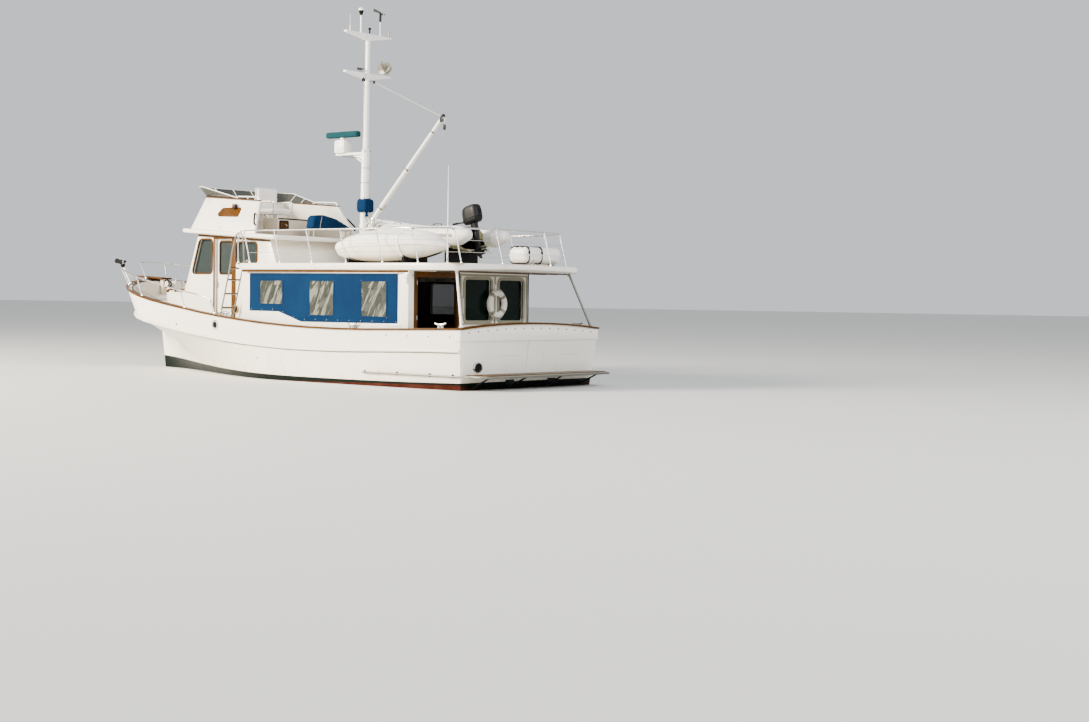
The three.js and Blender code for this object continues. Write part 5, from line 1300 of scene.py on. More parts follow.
def hull_fittings():
    """Portlights, outlets, vents, cleats, and a painted shadow line below the strake; the dark discs in the
    outlets, vents and bow openings are painted shade.
    """
    steel, dark, shade, brass = blanks(4)
    ring = lambda size: [(size * 0.62, 0.004), (size * 0.7, 0.012), (size * 0.92, 0.01), (size, 0.0),
                         (size, -0.01)]
    for side in SIDES:
        at = facing(*hull_point(0.54, 1.06, side))
        lathe(steel, ring(0.1), at)
        lathe(dark, [(0, 0.0035), (0.066, 0.0035), (0.066, -0.004), (0, -0.004)], at)
        for x, z, size in ((1.76, 1.04, 0.026), (0.305, 0.732, 0.028), (-3.175, 0.64, 0.022),
                           (-0.6, 0.42, 0.02)):
            at = facing(*hull_point(x, z, side))
            lathe(steel, ring(size), at)
            # Painted shade: a flat dark disc stands for the inside of each outlet.
            lathe(dark, [(0, 0.001), (size * 0.7, 0.001)], at)
        for x in (-5.74, -5.23, -4.72, -4.2):
            lathe(dark, [(0, 0.0), (0.014, 0.0), (0.014, 0.003), (0, 0.004)],
                  facing(*hull_point(x, 0.97, side)), 10)
        for z in (1.38, 1.48):
            point, normal = hull_point(4.86, z, side)
            along = Vector((0, 0, 1)).cross(normal)
            lip = [point + normal * 0.004 + along * dx + Vector((0, 0, dz))
                   for dx, dz in square(-0.06, 0.06, -0.02, 0.02)]
            lip = rounded(lip, 0.018, 4, closed=True)
            # Painted shade: a dark plate inside the rim stands for the inside of the opening.
            plate(dark, lip, 0.001)
            sweep(steel, lip, 0.006, 6, closed=True)
        # Painted shadow: a thin dark line just below the strake stands for the shadow it casts.
        strake = []
        for k in range(44):
            x = -5.9 + k * 0.24
            hits = [z for z in (1.5 - 0.01 * i for i in range(140))
                    if onto("rub_strake", (x, side * 4, z), (0, -side, 0))[0]]
            if hits:
                strake.append(hull_point(x, hits[-1] - 0.016, side, 0.001)[0])
        sweep(shade, strake, 0.007, 6)
        vent = facing((0.734, side * 1.464, 1.377), (0, side, 0))
        lathe(brass, [(0.07, 0.002), (0.074, 0.012), (0.086, 0.011), (0.09, 0), (0.09, -0.012)], vent)
        # Painted shade: a dark disc inside the ring stands for the inside of the vent.
        lathe(dark, [(0, 0.001), (0.073, 0.001), (0.073, 0.01), (0, 0.008)], vent)
        for x, length in ((-5.5, 0.26), (-3.3, 0.26), (0.25, 0.28), (3.75, 0.28)):
            ahead = cap_point(x + 0.1, side) - cap_point(x - 0.1, side)
            cleat(steel, cap_point(x, side), (0, 0, 1), ahead, length)
    piece("hull_steel", steel, RAIL)
    piece("hull_openings", dark, RUBBER)
    piece("strake_shadow_line", shade, FRAME_GREY)
    piece("vent_rings", brass, BRONZE)


def guard_tube():
    """The pipe that guards both quarters and runs on round the swim platform."""
    bm, dark = blanks(2)
    for side in SIDES:
        line = [hull_point(x, 0.262, side, 0.045)[0] for x in (-3.55, -4.1, -4.7, -5.3, -5.85)]
        line += [Vector((-6.2, side * 1.93, 0.255)), Vector((-6.44, side * 1.84, 0.25)),
                 Vector((-6.5, side * 1.2, 0.25)),
                 Vector((-6.515, 0, 0.25))]
        sweep(bm, flowing(line, 0.4), 0.017)
        for x in (-3.58, -4.4, -5.2, -5.75):
            at, normal = hull_point(x, 0.262, side, -0.002)
            peg(bm, at, at + normal * 0.05, 0.012)
            lathe(dark, [(0, 0), (0.035, 0), (0.035, 0.005), (0, 0.007)], facing(at, normal))
    piece("guard_pipe", bm, DULL_STEEL)
    piece("guard_feet", dark, BLACK)


def transom_fittings():
    """Screws, the exhaust, panel seams and platform brackets on the transom."""
    steel, dark, seams, hollow = blanks(4)
    for k in range(15):
        y = -1.82 + k * 0.26
        z = 1.103 + 0.1 * (1 - (y / 2.06) ** 2) - 0.075
        point, normal = onto("hull", (-8, y, z), (1, 0, 0))
        lathe(dark, [(0, 0), (0.016, 0), (0.014, 0.005), (0, 0.008)], facing(point, normal), 10)
    at = facing(*onto("hull", (-8, 1.5, 0.42), (1, 0, 0)))
    oval = at @ Matrix.Diagonal((1.25, 1, 1, 1))
    lathe(steel, [(0.075, 0.0), (0.08, 0.022), (0.1, 0.02), (0.108, 0)], oval, 32)
    # Painted shade: a flat black disc inside the rim stands for the inside of the exhaust pipe.
    lathe(hollow, [(0, 0.003), (0.078, 0.003), (0.078, 0.012), (0, 0.006)], oval, 32)
    for (y0, z0), (y1, z1) in (((0.25, 0.62), (0.95, 0.62)), ((0.1, 0.3), (0.1, 1.0)),
                               ((-1.5, 0.62), (-0.9, 0.62))):
        ends = [onto("hull", (-8, y, z), (1, 0, 0))[0] for y, z in ((y0, z0), (y1, z1))]
        sweep(seams, ends, (0.0022, 0.0022), 6)
    for y in (-0.7, 0.55):
        point, normal = onto("hull", (-8, y, 0.12), (1, 0, 0))
        block(dark, point + Vector((-0.02, -0.12, -0.05)), point + Vector((0.0, 0.12, 0.05)), 0.012, 3)
    piece("transom_steel", steel, RAIL)
    piece("transom_dark", dark, BLACK)
    piece("exhaust_mouth", hollow, RUBBER)
    piece("transom_seams", seams, FRAME_GREY)


def swim_platform():
    """A slab on struts, with teak slats across it."""
    slab, struts, slats = blanks(3)
    plan = rounded([(-5.9225, -1.93, 0.236), (-5.9225, 1.93, 0.236), (-6.44, 1.87, 0.236),
                    (-6.48, 0, 0.236),
                    (-6.44, -1.87, 0.236)], 0.09, 5, closed=True)
    plate(slab, plan[::-1], 0.039, 0.008)
    for y in (-1.62, -0.54, 0.54, 1.62):
        sweep(struts, [(-6.33, y, 0.24), (-5.925, y, 0.05)], 0.016, 12)
        block(struts, (-5.93, y - 0.035, 0.02), (-5.907, y + 0.035, 0.08), 0.006)
        block(struts, (-6.37, y - 0.03, 0.222), (-6.29, y + 0.03, 0.238), 0.005)
    piece("platform_slab", slab, FRAME_GREY, replaces="swim_platform")
    piece("platform_struts", struts, BLACK)
    for k in range(11):
        x = -6.42 + k * 0.046
        half = 1.82 - 0.5 * max(0, -6.3 - x)
        block(slats, (x - 0.019, -half, 0.2752), (x + 0.019, half, 0.288), 0.004)
    piece("platform_slats", slats, TEAK_ACROSS)


pilothouse_trim()
door_gear()
bulkhead_trim()
side_window_trim()
deck_edge()
ring_buoy()
hull_fittings()
guard_tube()
transom_fittings()
swim_platform()


# Soft goods and the boats on deck
def settled(made):
    """A new shape from an object as its modifiers leave it, which then goes."""
    bm = blank()
    bpy.context.view_layer.update()
    evaluated = made.evaluated_get(bpy.context.evaluated_depsgraph_get())
    bm.from_mesh(evaluated.to_mesh())
    evaluated.to_mesh_clear()
    mesh = made.data
    bpy.data.objects.remove(made)
    bpy.data.meshes.remove(mesh)
    return bm


def loose(bm):
    """A plain object that holds a shape while modifiers work on it."""
    mesh = bpy.data.meshes.new("working")
    bm.to_mesh(mesh)
    bm.free()
    made = bpy.data.objects.new("working", mesh)
    bpy.context.scene.collection.objects.link(made)
    return made


def creased(bm, size, depth, lift, stretch, seed):
    """Moves a surface along its own normals into soft folds."""
    bm.normal_update()
    for vert in bm.verts:
        spot = Vector(vert.co[i] * stretch[i] / size for i in range(3)) + Vector((seed, seed, seed))
        vert.co += vert.normal * (lift + depth * (noise.noise(spot) + 0.4 * noise.noise(spot * 2.3)))


def outline_area(outline):
    return abs(sum(a[0] * b[1] - b[0] * a[1] for a, b in zip(outline, outline[1:] + outline[:1]))) / 2


CANVAS_EDGE = [(-0.37, 2.11), (-4.44, 2.11), (-4.44, 1.185), (-1.85, 1.17), (-1.21, 1.36), (-0.37, 1.36)]
CANVAS_FACE = 2.0525


def canvas_fold(x, z):
    """How far the canvas stands off the wall: tucks hang from the track and flatten towards its foot."""
    hang = min(max((2.11 - z) / 0.94, 0), 1)
    hung = math.sin(math.pi * min(hang * 1.3 + 0.15, 1))
    tuck = 0.0035 * (math.sin(x * 23 + 1.4 * math.sin(z * 5)) + 1) * hung
    return tuck + 0.0035 * (noise.noise(Vector((x * 2.2, 0, z * 4))) + 0.6)


def side_canvas():
    """The blue side cloth with its hems, stitches, snaps and three clear windows."""
    cloth_bm = blank()
    outline = rounded([(x, CANVAS_FACE, z) for x, z in CANVAS_EDGE], 0.03, 4, closed=True)
    face = cloth_bm.faces.new([cloth_bm.verts.new(point) for point in outline])
    holes = [(x0, x1, low, 1.97) for x0, x1, low in SIDE_WINDOWS]
    cuts = [(x, "x") for x0, x1, *_ in holes for x in (x0, x1)] + [(z, "z") for z in (1.3, 1.5, 1.97)]
    cuts += [(-4.4 + 0.04 * k, "x") for k in range(101)] + [(1.2 + 0.04 * k, "z") for k in range(23)]
    for at, axis in cuts:
        way = Vector((1, 0, 0)) if axis == "x" else Vector((0, 0, 1))
        bmesh.ops.bisect_plane(cloth_bm, geom=cloth_bm.verts[:] + cloth_bm.edges[:] + cloth_bm.faces[:],
                               plane_co=way * at, plane_no=way, dist=1e-4)
    gone = []
    for face in cloth_bm.faces:
        middle = face.calc_center_median()
        if any(x0 < middle.x < x1 and low < middle.z < high for x0, x1, low, high in holes):
            gone.append(face)
    bmesh.ops.delete(cloth_bm, geom=gone, context="FACES")
    for vert in cloth_bm.verts:
        vert.co.y = CANVAS_FACE + canvas_fold(vert.co.x, vert.co.z)
    cloth_bm.normal_update()
    if sum(face.normal.y for face in cloth_bm.faces) < 0:
        bmesh.ops.reverse_faces(cloth_bm, faces=cloth_bm.faces)
    bmesh.ops.solidify(cloth_bm, geom=cloth_bm.faces, thickness=0.0012)
    flat = outline_area(CANVAS_EDGE) - sum((x1 - x0) * (high - low) for x0, x1, low, high in holes)
    hems, stitches, snaps = blanks(3)
    on = lambda x, z, lift: Vector((x, CANVAS_FACE + canvas_fold(x, z) + lift, z))
    fine = lambda line: [p for a, b in zip(line, line[1:]) for p in (a.lerp(b, k / 6) for k in range(6))]
    edge = rounded([(x, 0, z) for x, z in CANVAS_EDGE], 0.03, 4, closed=True)
    for inset, bm, size in ((0.016, hems, (0.015, 0.0014)), (0.004, stitches, 0.0011),
                            (0.03, stitches, 0.0011)):
        middle = Vector((-2.4, 0, 1.7))
        line = [p + Vector((math.copysign(inset, middle.x - p.x), 0, math.copysign(inset, middle.z - p.z)))
                for p in edge]
        line = fine([*line, line[0]])
        flat_bar = isinstance(size, tuple)
        sweep(bm, [on(p.x, p.z, 0.002 if flat_bar else 0.0036) for p in line], size, 4 if flat_bar else 6,
              up=(0, 1, 0), closed=True)
    for k, (x0, x1, low, high) in enumerate(holes):
        corners = [Vector((x, 0, z)) for x, z in square(x0, x1, low, high)]
        line = rounded(widened(corners, 0.006), 0.05, 6, closed=True)
        line = fine([*line, line[0]])
        sweep(hems, [on(p.x, p.z, 0.0022) for p in line], (0.014, 0.0013), 4, up=(0, 1, 0), closed=True)
        for inset in (-0.006, 0.018):
            seam = rounded(widened(corners, inset), 0.05, 6, closed=True)
            sweep(stitches, [on(p.x, p.z, 0.0037) for p in fine([*seam, seam[0]])], 0.001, 6, closed=True)
        vinyl = blank()
        bmesh.ops.create_grid(vinyl, x_segments=24, y_segments=34, size=0.5)
        for vert in vinyl.verts:
            across, up = vert.co.x + 0.5, vert.co.y + 0.5
            x, z = x0 - 0.015 + across * (x1 - x0 + 0.03), low - 0.015 + up * (high - low + 0.03)
            wave = 0.004 * math.sin(17 * (x * 0.9 + z * 0.5) + 2.5 * noise.noise(Vector((x * 2, k, z * 2))))
            vert.co = on(x, z, 0.0008 + wave * math.sin(math.pi * across) * math.sin(math.pi * up))
        bmesh.ops.solidify(vinyl, geom=vinyl.faces, thickness=0.0008)
        pane = piece(f"canvas_pane_{k}", vinyl, VINYL_CLEAR)
        x1 - x0 + 0.03
        high - low + 0.03
    for k in range(14):
        x = -4.4 + k * 0.305
        foot = 1.2 if x < -1.9 else 1.18 + (x + 1.85) * 0.297 if x < -1.21 else 1.375
        lathe(snaps, [(0, 0.004), (0.006, 0.0035), (0.0075, 0.001), (0.0075, 0)],
              facing(on(x, foot + 0.02, 0.002), (0, 1, 0)), 12)
    hem = piece("canvas_hems", hems, BLUE)
    stitch = piece("canvas_stitching", stitches, BLUE)
    snap = piece("canvas_snaps", snaps, RAIL)
    made = piece("canvas_cloth", cloth_bm, BLUE, replaces="side_canvas")


def cover(node, finish, open_below, fold, depth, spread):
    """A cloth cover drawn over a solid: its skin in folds, without the underside."""
    bm = merged(node)
    bmesh.ops.triangulate(bm, faces=bm.faces)
    made = loose(bm)
    remesh = made.modifiers.new("even", "REMESH")
    remesh.mode, remesh.voxel_size = "VOXEL", fold / 9
    bm = settled(made)
    gone = [face for face in bm.faces if face.calc_center_median().z < open_below]
    bmesh.ops.delete(bm, geom=gone, context="FACES")
    bmesh.ops.smooth_vert(bm, verts=[v for v in bm.verts if not v.is_boundary], factor=0.5, use_axis_x=True,
                          use_axis_y=True, use_axis_z=True)
    creased(bm, fold, depth, depth * 0.6, spread, len(node))
    area = sum(face.calc_area() for face in bm.faces)
    bmesh.ops.solidify(bm, geom=bm.faces, thickness=0.002)
    made = piece(f"{node}_cloth", bm, finish, body=body_of(node), replaces=node, sharp=60)
    return made, area


def soft_covers():
    """The covers of the mast's winch, the locker and the scanner."""
    made, area = cover("winch_cover", BLUE, 3.41, 0.12, 0.008, (1, 1, 0.5))
    made, area = cover("locker_cover", BLUE, 3.075, 0.28, 0.008, (1, 1, 0.6))
    made, area = cover("radar_scanner", TEAL, 4.955, 0.1, 0.004, (0.5, 1, 1))


def cover_ties():
    """The tie below the mast cover and the seam of the locker cover."""
    tie = blank()
    x = mast_x(3.54) - 0.022
    loop = [Vector((x + math.cos(a) * 0.128, math.sin(a) * 0.128, 3.405))
            for a in (k * math.pi / 16 for k in range(32))]
    sweep(tie, loop, 0.009, 8, closed=True)
    lathe(tie, [(0.0, 0.0), (0.03, 0.0), (0.02, -0.05), (0.045, -0.1), (0.0, -0.105)],
          facing((x - 0.09, 0.05, 3.41)), 14)
    piece("winch_cover_tie", tie, BLUE)
    seam = blank()
    sweep(seam, flowing([(-0.553, 0.32, 3.07), (-0.556, 0.3, 3.2), (-0.553, 0.27, 3.3),
                         (-0.53, 0.25, 3.352)], 0.4, 4),
          0.005, 6)
    piece("locker_cover_seam", seam, ROPE)


def loft(bm, rings, closed=True):
    """A skin through rings of points, filled at both ends when the rings are closed."""
    loops = []
    for ring in rings:
        verts = [bm.verts.new(point) for point in ring]
        loops.append([bm.edges.new(pair) for pair in zip(verts, verts[1:] + verts[:1] * closed)])
    for before, after in zip(loops, loops[1:]):
        bmesh.ops.bridge_loops(bm, edges=before + after)
    if closed:
        for end in (loops[0], loops[-1]):
            bmesh.ops.edgeloop_fill(bm, edges=end)


def hoop(bm, centre, way, radius, thin, steps=32):
    """A thin ring about a way."""
    place = facing(centre, way)
    ring = [place @ Vector((math.cos(a) * radius, math.sin(a) * radius, 0))
            for a in (k * math.tau / steps for k in range(steps))]
    sweep(bm, ring, thin, 6, closed=True)


SKIFF = {"y": 1.3, "half": 0.55, "hem": 0.44}
SKIFF_LINES = [(-4.97, 2.6, 2.675, 0.1), (-4.8, 2.53, 2.78, 0.36), (-4.6, 2.475, 2.88, 0.58),
               (-4.4, 2.435, 2.93, 0.75), (-4.0, 2.375, 2.955, 0.93), (-3.45, 2.342, 2.968, 1.0),
               (-3.15, 2.345, 2.955, 1.0), (-2.84, 2.358, 2.9, 0.92), (-2.5, 2.395, 2.8, 0.72),
               (-2.3, 2.44, 2.745, 0.5), (-2.22, 2.49, 2.71, 0.2)]
SKIFF_SIDE = [(0, 0), (0.4, 0.04), (0.72, 0.13), (0.92, 0.36), (1, 0.6), (0.9, 0.8), (0.5, 0.94), (0, 1)]


def skiff_section(row, shares, lift):
    """The points of one frame of the skiff, each with the height share it stands at."""
    x, low, high, share = row
    wide = SKIFF["half"] * share + lift
    return [Vector((x, SKIFF["y"] + across * wide, low - lift + up * (high - low + 2 * lift))) for across,
            up in shares]


def skiff():
    """The small boat under its cover, with a hem, straps and a keel."""
    side = [(point.x, point.y) for point in flowing([Vector((a, b)) for a, b in SKIFF_SIDE], 0.4, 4)]
    rows = flowing(SKIFF_LINES, 0.45, 6)
    ring = side + [(-a, b) for a, b in side[-2:0:-1]]
    hull_bm = blank()
    loft(hull_bm, [skiff_section(row, ring, -0.004) for row in rows])
    piece("skiff_hull", hull_bm, WHITE, replaces="skiff")
    above = [(a, b) for a, b in side if b > SKIFF["hem"]]
    arch = [*above, *[(-a, b) for a, b in above[-2::-1]]]
    shell = blank()
    loft(shell, [skiff_section(row, arch, 0.003) for row in rows], closed=False)
    bmesh.ops.subdivide_edges(shell, edges=shell.edges, cuts=1, use_grid_fill=True)
    bmesh.ops.recalc_face_normals(shell, faces=shell.faces)
    shell.normal_update()
    if sum(face.normal.z for face in shell.faces) < 0:
        bmesh.ops.reverse_faces(shell, faces=shell.faces)
    for vert in shell.verts:
        x, _, z = vert.co
        hang = min(max((2.95 - z) / 0.35, 0), 1)
        pleat = 0.5 + 0.5 * math.sin(x * 26 + 1.5 * math.sin(x * 7))
        slack = 0.008 * max(noise.noise(vert.co * 2.3), -0.3)
        vert.co += vert.normal * (0.003 + 0.006 * hang * pleat + slack)
    area = sum(face.calc_area() for face in shell.faces)
    bmesh.ops.solidify(shell, geom=shell.faces, thickness=0.002)
    hem, straps = blanks(2)
    for way in SIDES:
        edge = [skiff_section(row, [(way * above[0][0], above[0][1])], 0.011)[0] for row in rows]
        sweep(hem, edge, 0.004, 8)
    for at in (22, 44):
        row = rows[at]
        sweep(straps, skiff_section(row, ring, 0.013), (0.0015, 0.018), 4, up=(1, 0, 0), closed=True)
    hem_piece = piece("skiff_cover_hem", hem, COVER)
    piece("skiff_straps", straps, COVER)
    made = piece("skiff_cover", shell, COVER, sharp=60)
    keel = blank()
    sweep(keel, [skiff_section(row, [(0, 0)], 0.008)[0] for row in rows[4:-6]], (0.012, 0.016), 4,
          up=(0, 0, 1))
    piece("skiff_keel", keel, RUBBER)


TENDER = {"y": -0.825, "z": 2.905, "half": 0.575, "tube": 0.195, "sill": 3.08}


def tender():
    """Air tubes with their seams, strake, handles and tight lifeline, over a moulded bottom."""
    tubes, bottom, board, dark, rope, seams = blanks(6)
    side = [(-3.865, 0.575, 0), (-2.8, 0.575, 0.02), (-1.8, 0.505, 0.095), (-1.18, 0.299, 0.18)]
    plan = [*side, (-0.87, 0, 0.225), *[(x, -out, rise) for x, out, rise in reversed(side)]]
    curve = flowing([(x, TENDER["y"] + out, TENDER["z"] + rise) for x, out, rise in plan], 0.5, 8)
    tail = [(-4.198, 0.02, 0.025), (-4.19, 0.06, 0.024), (-4.15, 0.105, 0.022), (-4.03, 0.15, 0.013),
            (-3.93, 0.184, 0.004)]
    ends = [[Vector((x, TENDER["y"] + way * 0.575, TENDER["z"] + rise)) for x, _, rise in tail]
            for way in SIDES]
    sizes = [size for _, size, _ in tail]
    sweep(tubes, [*ends[0], *curve, *ends[1][::-1]],
          [*sizes, *[TENDER["tube"]] * len(curve), *sizes[::-1]], 32)
    for place, turn in stations(curve)[1::9]:
        hoop(seams, place, turn @ Vector((0, 0, 1)), TENDER["tube"] + 0.0005, 0.004)
    strake, line = [], []
    for k, (place, turn) in enumerate(stations(curve)):
        way = turn @ Vector((0, 0, 1))
        out = way.cross(Vector((0, 0, 1))).normalized()
        if out.dot(place - Vector((-2.6, TENDER["y"], TENDER["z"]))) < 0:
            out = -out
        strake.append(place + out * TENDER["tube"])
        high = (out + Vector((0, 0, 0.9))).normalized()
        line.append(place + high * (TENDER["tube"] + (0.022 if k % 8 else 0.008)))
        if k % 8 == 0:
            lathe(dark, [(0, 0), (0.03, 0), (0.028, 0.006), (0.012, 0.012), (0, 0.013)],
                  facing(place + high * (TENDER["tube"] - 0.002), high), 16)
    sweep(seams, strake, (0.011, 0.03), 4, up=(0, 0, 1))
    sweep(rope, flowing(line[::2], 0.4, 3), 0.0055, 8)
    for way in SIDES:
        for x in (-3.3, -2.2):
            top = Vector((x, TENDER["y"] + way * 0.56, TENDER["z"] + 0.2 + 0.03 * (x + 3.3)))
            offsets = ((-0.11, 0), (-0.08, 0.045), (0.08, 0.045), (0.11, 0))
            grip = [top + Vector((ahead, 0, up)) for ahead, up in offsets]
            sweep(dark, flowing(grip, 0.4, 4), (0.014, 0.005), 8, up=(0, 0, 1))
        lathe(dark, [(0, 0), (0.028, 0), (0.026, 0.014), (0.012, 0.018), (0, 0.02)],
              facing((-3.5, TENDER["y"] + way * 0.44, TENDER["z"] + 0.135), (0, -way, 1)), 16)
    rings = []
    for x, share, lift in ((-3.69, 0.9, 0.0), (-2.7, 0.9, 0.0), (-1.8, 0.75, 0.12), (-1.35, 0.35, 0.23)):
        wide, z = TENDER["half"] * share, TENDER["z"]
        side = [(0, z - 0.3 + lift), (wide * 0.45, z - 0.225 + lift * 0.85),
                (wide * 0.8, z - 0.15 + lift * 0.65),
                (wide, z - 0.09 + lift / 2), (wide, z - 0.04 + lift / 2)]
        half = [Vector((x, TENDER["y"] + across, up)) for across, up in side]
        rings.append([*half, *[Vector((x, 2 * TENDER["y"] - p.y, p.z)) for p in half[:0:-1]]])
    loft(bottom, rings)
    top = [(-0.5, 2.65), (0.5, 2.65), (0.5, 2.96), (0.36, 3.0), (0.26, TENDER["sill"]),
           (-0.26, TENDER["sill"]),
           (-0.36, 3.0), (-0.5, 2.96)]
    plate(board, rounded([(-3.69, TENDER["y"] + y, z) for y, z in top], 0.03, 3, closed=True), -0.04, 0.005)
    block(dark, (-3.7, TENDER["y"] - 0.14, 2.9), (-3.6905, TENDER["y"] + 0.14, 3.07), 0.003)
    block(board, (-2.75, TENDER["y"] - 0.44, 2.985), (-2.45, TENDER["y"] + 0.44, 3.01), 0.01)
    for y in (-0.3, 0.3):
        block(board, (-2.7, TENDER["y"] + y - 0.015, 2.86), (-2.5, TENDER["y"] + y + 0.015, 2.99), 0.004)
    piece("tender_tubes", tubes, TUBES, replaces="tender")
    piece("tender_bottom", bottom, FRAME_GREY)
    piece("tender_boards", board, OLIVE)
    piece("tender_rubber", dark, RUBBER)
    piece("tender_lifeline", rope, ROPE)
    piece("tender_seams", seams, FRAME_GREY)


OUTBOARD = {"pin": Vector((-3.8, -0.825, 3.06)), "tilt": 0.225}


def outboard():
    """Cowl, leg, screw and clamps, drawn upright about the tilt pin and then leant over."""
    shell, dark, steel, seams = blanks(4)
    lean = Matrix.Translation(OUTBOARD["pin"]) @ Matrix.Rotation(OUTBOARD["tilt"], 4, "Y")
    plan = [(-0.2, 0.06), (-0.15, 0.12), (0.12, 0.13), (0.23, 0.07), (0.23, -0.07), (0.12, -0.13),
            (-0.15, -0.12),
            (-0.2, -0.06)]
    around = lambda z, share: [Vector((p.x * share, p.y * share, z - 0.12 * max(p.x * share, 0)))
                               for p in rounded([(x, y, 0) for x, y in plan], 0.055, 4, closed=True)]
    levels = [(0.13, 0.72), (0.145, 0.86), (0.18, 0.97), (0.225, 1.0), (0.232, 1.0), (0.3, 1.02),
              (0.37, 1.0),
              (0.42, 0.965), (0.455, 0.91), (0.475, 0.82), (0.485, 0.62), (0.489, 0.3), (0.49, 0.08)]
    loft(shell, [around(z, share) for z, share in levels])
    sweep(seams, around(0.228, 1.006), (0.004, 0.006), 4, up=(0, 0, 1), closed=True)
    for k in range(4):
        sweep(seams, [(-0.205, -0.05, 0.3 + k * 0.022), (-0.208, 0.05, 0.3 + k * 0.022)], 0.005, 6)
    block(seams, (0.2, -0.03, 0.2), (0.245, 0.03, 0.24), 0.008)
    leg = [(0.16, 0.092, 0.062, -0.005), (0.05, 0.085, 0.05, -0.006), (-0.15, 0.075, 0.042, -0.007),
           (-0.36, 0.072, 0.036, -0.01), (-0.5, 0.068, 0.03, -0.012)]
    loft(dark, [[Vector((shift + math.cos(a) * long, math.sin(a) * wide, z)) for a in
                 (k * math.pi / 12 for k in range(24))] for z, long, wide, shift in leg])
    fin = rounded([(-0.24, -0.06, -0.41), (0.05, -0.07, -0.41), (0.06, 0.07, -0.41), (-0.24, 0.06, -0.41)],
                  0.04, 4,
                  closed=True)
    plate(dark, fin, 0.012, 0.003)
    lathe(dark, [(0, 0), (0.026, 0.0), (0.045, 0.05), (0.05, 0.12), (0.048, 0.22), (0.03, 0.3),
                 (0.0, 0.325)],
          facing((-0.235, 0, -0.5), (1, 0, 0)), 20)
    skeg = rounded([(-0.07, -0.007, -0.51), (0.055, -0.007, -0.51), (-0.03, -0.007, -0.62),
                    (-0.08, -0.007, -0.62)], 0.02,
                   3, closed=True)
    plate(dark, skeg, -0.014, 0.003)
    for k in range(3):
        blade = blank()
        face = [(0.018, -0.02), (0.045, -0.045), (0.085, -0.045), (0.108, -0.01), (0.1, 0.03),
                (0.06, 0.045), (0.02, 0.02)]
        plate(blade, rounded([(0, across, out) for out, across in face], 0.015, 3, closed=True), 0.005,
              0.0015)
        pitch = Matrix.Rotation(k * math.tau / 3, 4, "X") @ Matrix.Rotation(0.55, 4, "Z")
        add(steel, blade, Matrix.Translation((-0.255, 0, -0.5)) @ pitch)
    lathe(steel, [(0, 0), (0.022, 0.004), (0.026, 0.02), (0.026, 0.055), (0, 0.055)],
          facing((-0.285, 0, -0.5), (1, 0, 0)))
    sweep(dark, [(0.16, 0, 0.17), (0.3, 0.01, 0.2), (0.46, 0.015, 0.215)], [0.022, 0.016, 0.015], 12)
    sweep(seams, [(0.4, 0.0125, 0.211), (0.53, 0.017, 0.222)], 0.021, 14)
    for bm in (shell, dark, steel, seams):
        bmesh.ops.transform(bm, matrix=lean, verts=bm.verts)
    aft, y = -3.69, OUTBOARD["pin"].y
    for way in SIDES:
        block(dark, (-3.8, y + way * 0.095 - 0.014, 2.88), (aft - 0.0005, y + way * 0.095 + 0.014, 3.05),
              0.006)
        block(dark, (-3.8, y + way * 0.095 - 0.014, 3.081), (-3.61, y + way * 0.095 + 0.014, 3.105), 0.005)
        block(dark, (-3.636, y + way * 0.095 - 0.014, 2.94), (-3.612, y + way * 0.095 + 0.014, 3.09), 0.005)
        peg(steel, (-3.648, y + way * 0.095, 2.98), (-3.56, y + way * 0.095, 2.98), 0.009)
        sweep(steel, [(-3.565, y + way * 0.095, 2.94), (-3.565, y + way * 0.095, 3.02)], 0.006, 8)
    block(dark, (-3.83, y - 0.11, 3.03), (-3.77, y + 0.11, 3.08), 0.012, 3)
    peg(steel, (-3.8, y - 0.13, 3.055), (-3.8, y + 0.13, 3.055), 0.012)
    piece("outboard_cowl", shell, BLACK, replaces="outboard", sharp=50)
    piece("outboard_leg", dark, BLACK)
    piece("outboard_steel", steel, RAIL)
    piece("outboard_seams", seams, RUBBER)


def life_raft():
    """The canister: two halves with a rim between them, straps, and its cradle."""
    shell, dark, cradle = blanks(3)
    low, high = Vector((-5.5, -1.5, 2.37)), Vector((-5.04, -0.38, 2.67))
    block(shell, low, high, 0.1, 7)
    for x in (-5.4, -5.27, -5.14):
        block(shell, (x - 0.03, -1.42, 2.66), (x + 0.03, -0.46, 2.676), 0.006)
    rim = [(x, y, 2.52) for x, y in square(low.x - 0.004, high.x + 0.004, low.y - 0.004, high.y + 0.004)]
    rim = rounded(rim, 0.1, 6, closed=True)
    sweep(shell, rim, (0.007, 0.014), 4, up=(0, 0, 1), closed=True)
    for y in (-0.86, -0.47):
        band = rounded([(x, y, z) for x, z in square(-5.506, -5.034, 2.364, 2.684)], 0.1, 6, closed=True)
        sweep(dark, band, (0.016, 0.002), 4, up=(0, 1, 0), closed=True)
        block(dark, (-5.512, y - 0.025, 2.55), (-5.502, y + 0.025, 2.6), 0.002)
    for y in (-1.27, -0.61):
        block(cradle, (-5.48, y - 0.025, 2.3105), (-5.06, y + 0.025, 2.385), 0.006)
        for x in (-5.49, -5.05):
            block(cradle, (x - 0.012, y - 0.025, 2.3105), (x + 0.012, y + 0.025, 2.44), 0.004)
    piece("raft_canister", shell, PLASTIC, replaces="life_raft")
    piece("raft_straps", dark, RUBBER)
    piece("raft_cradle", cradle, RAIL)


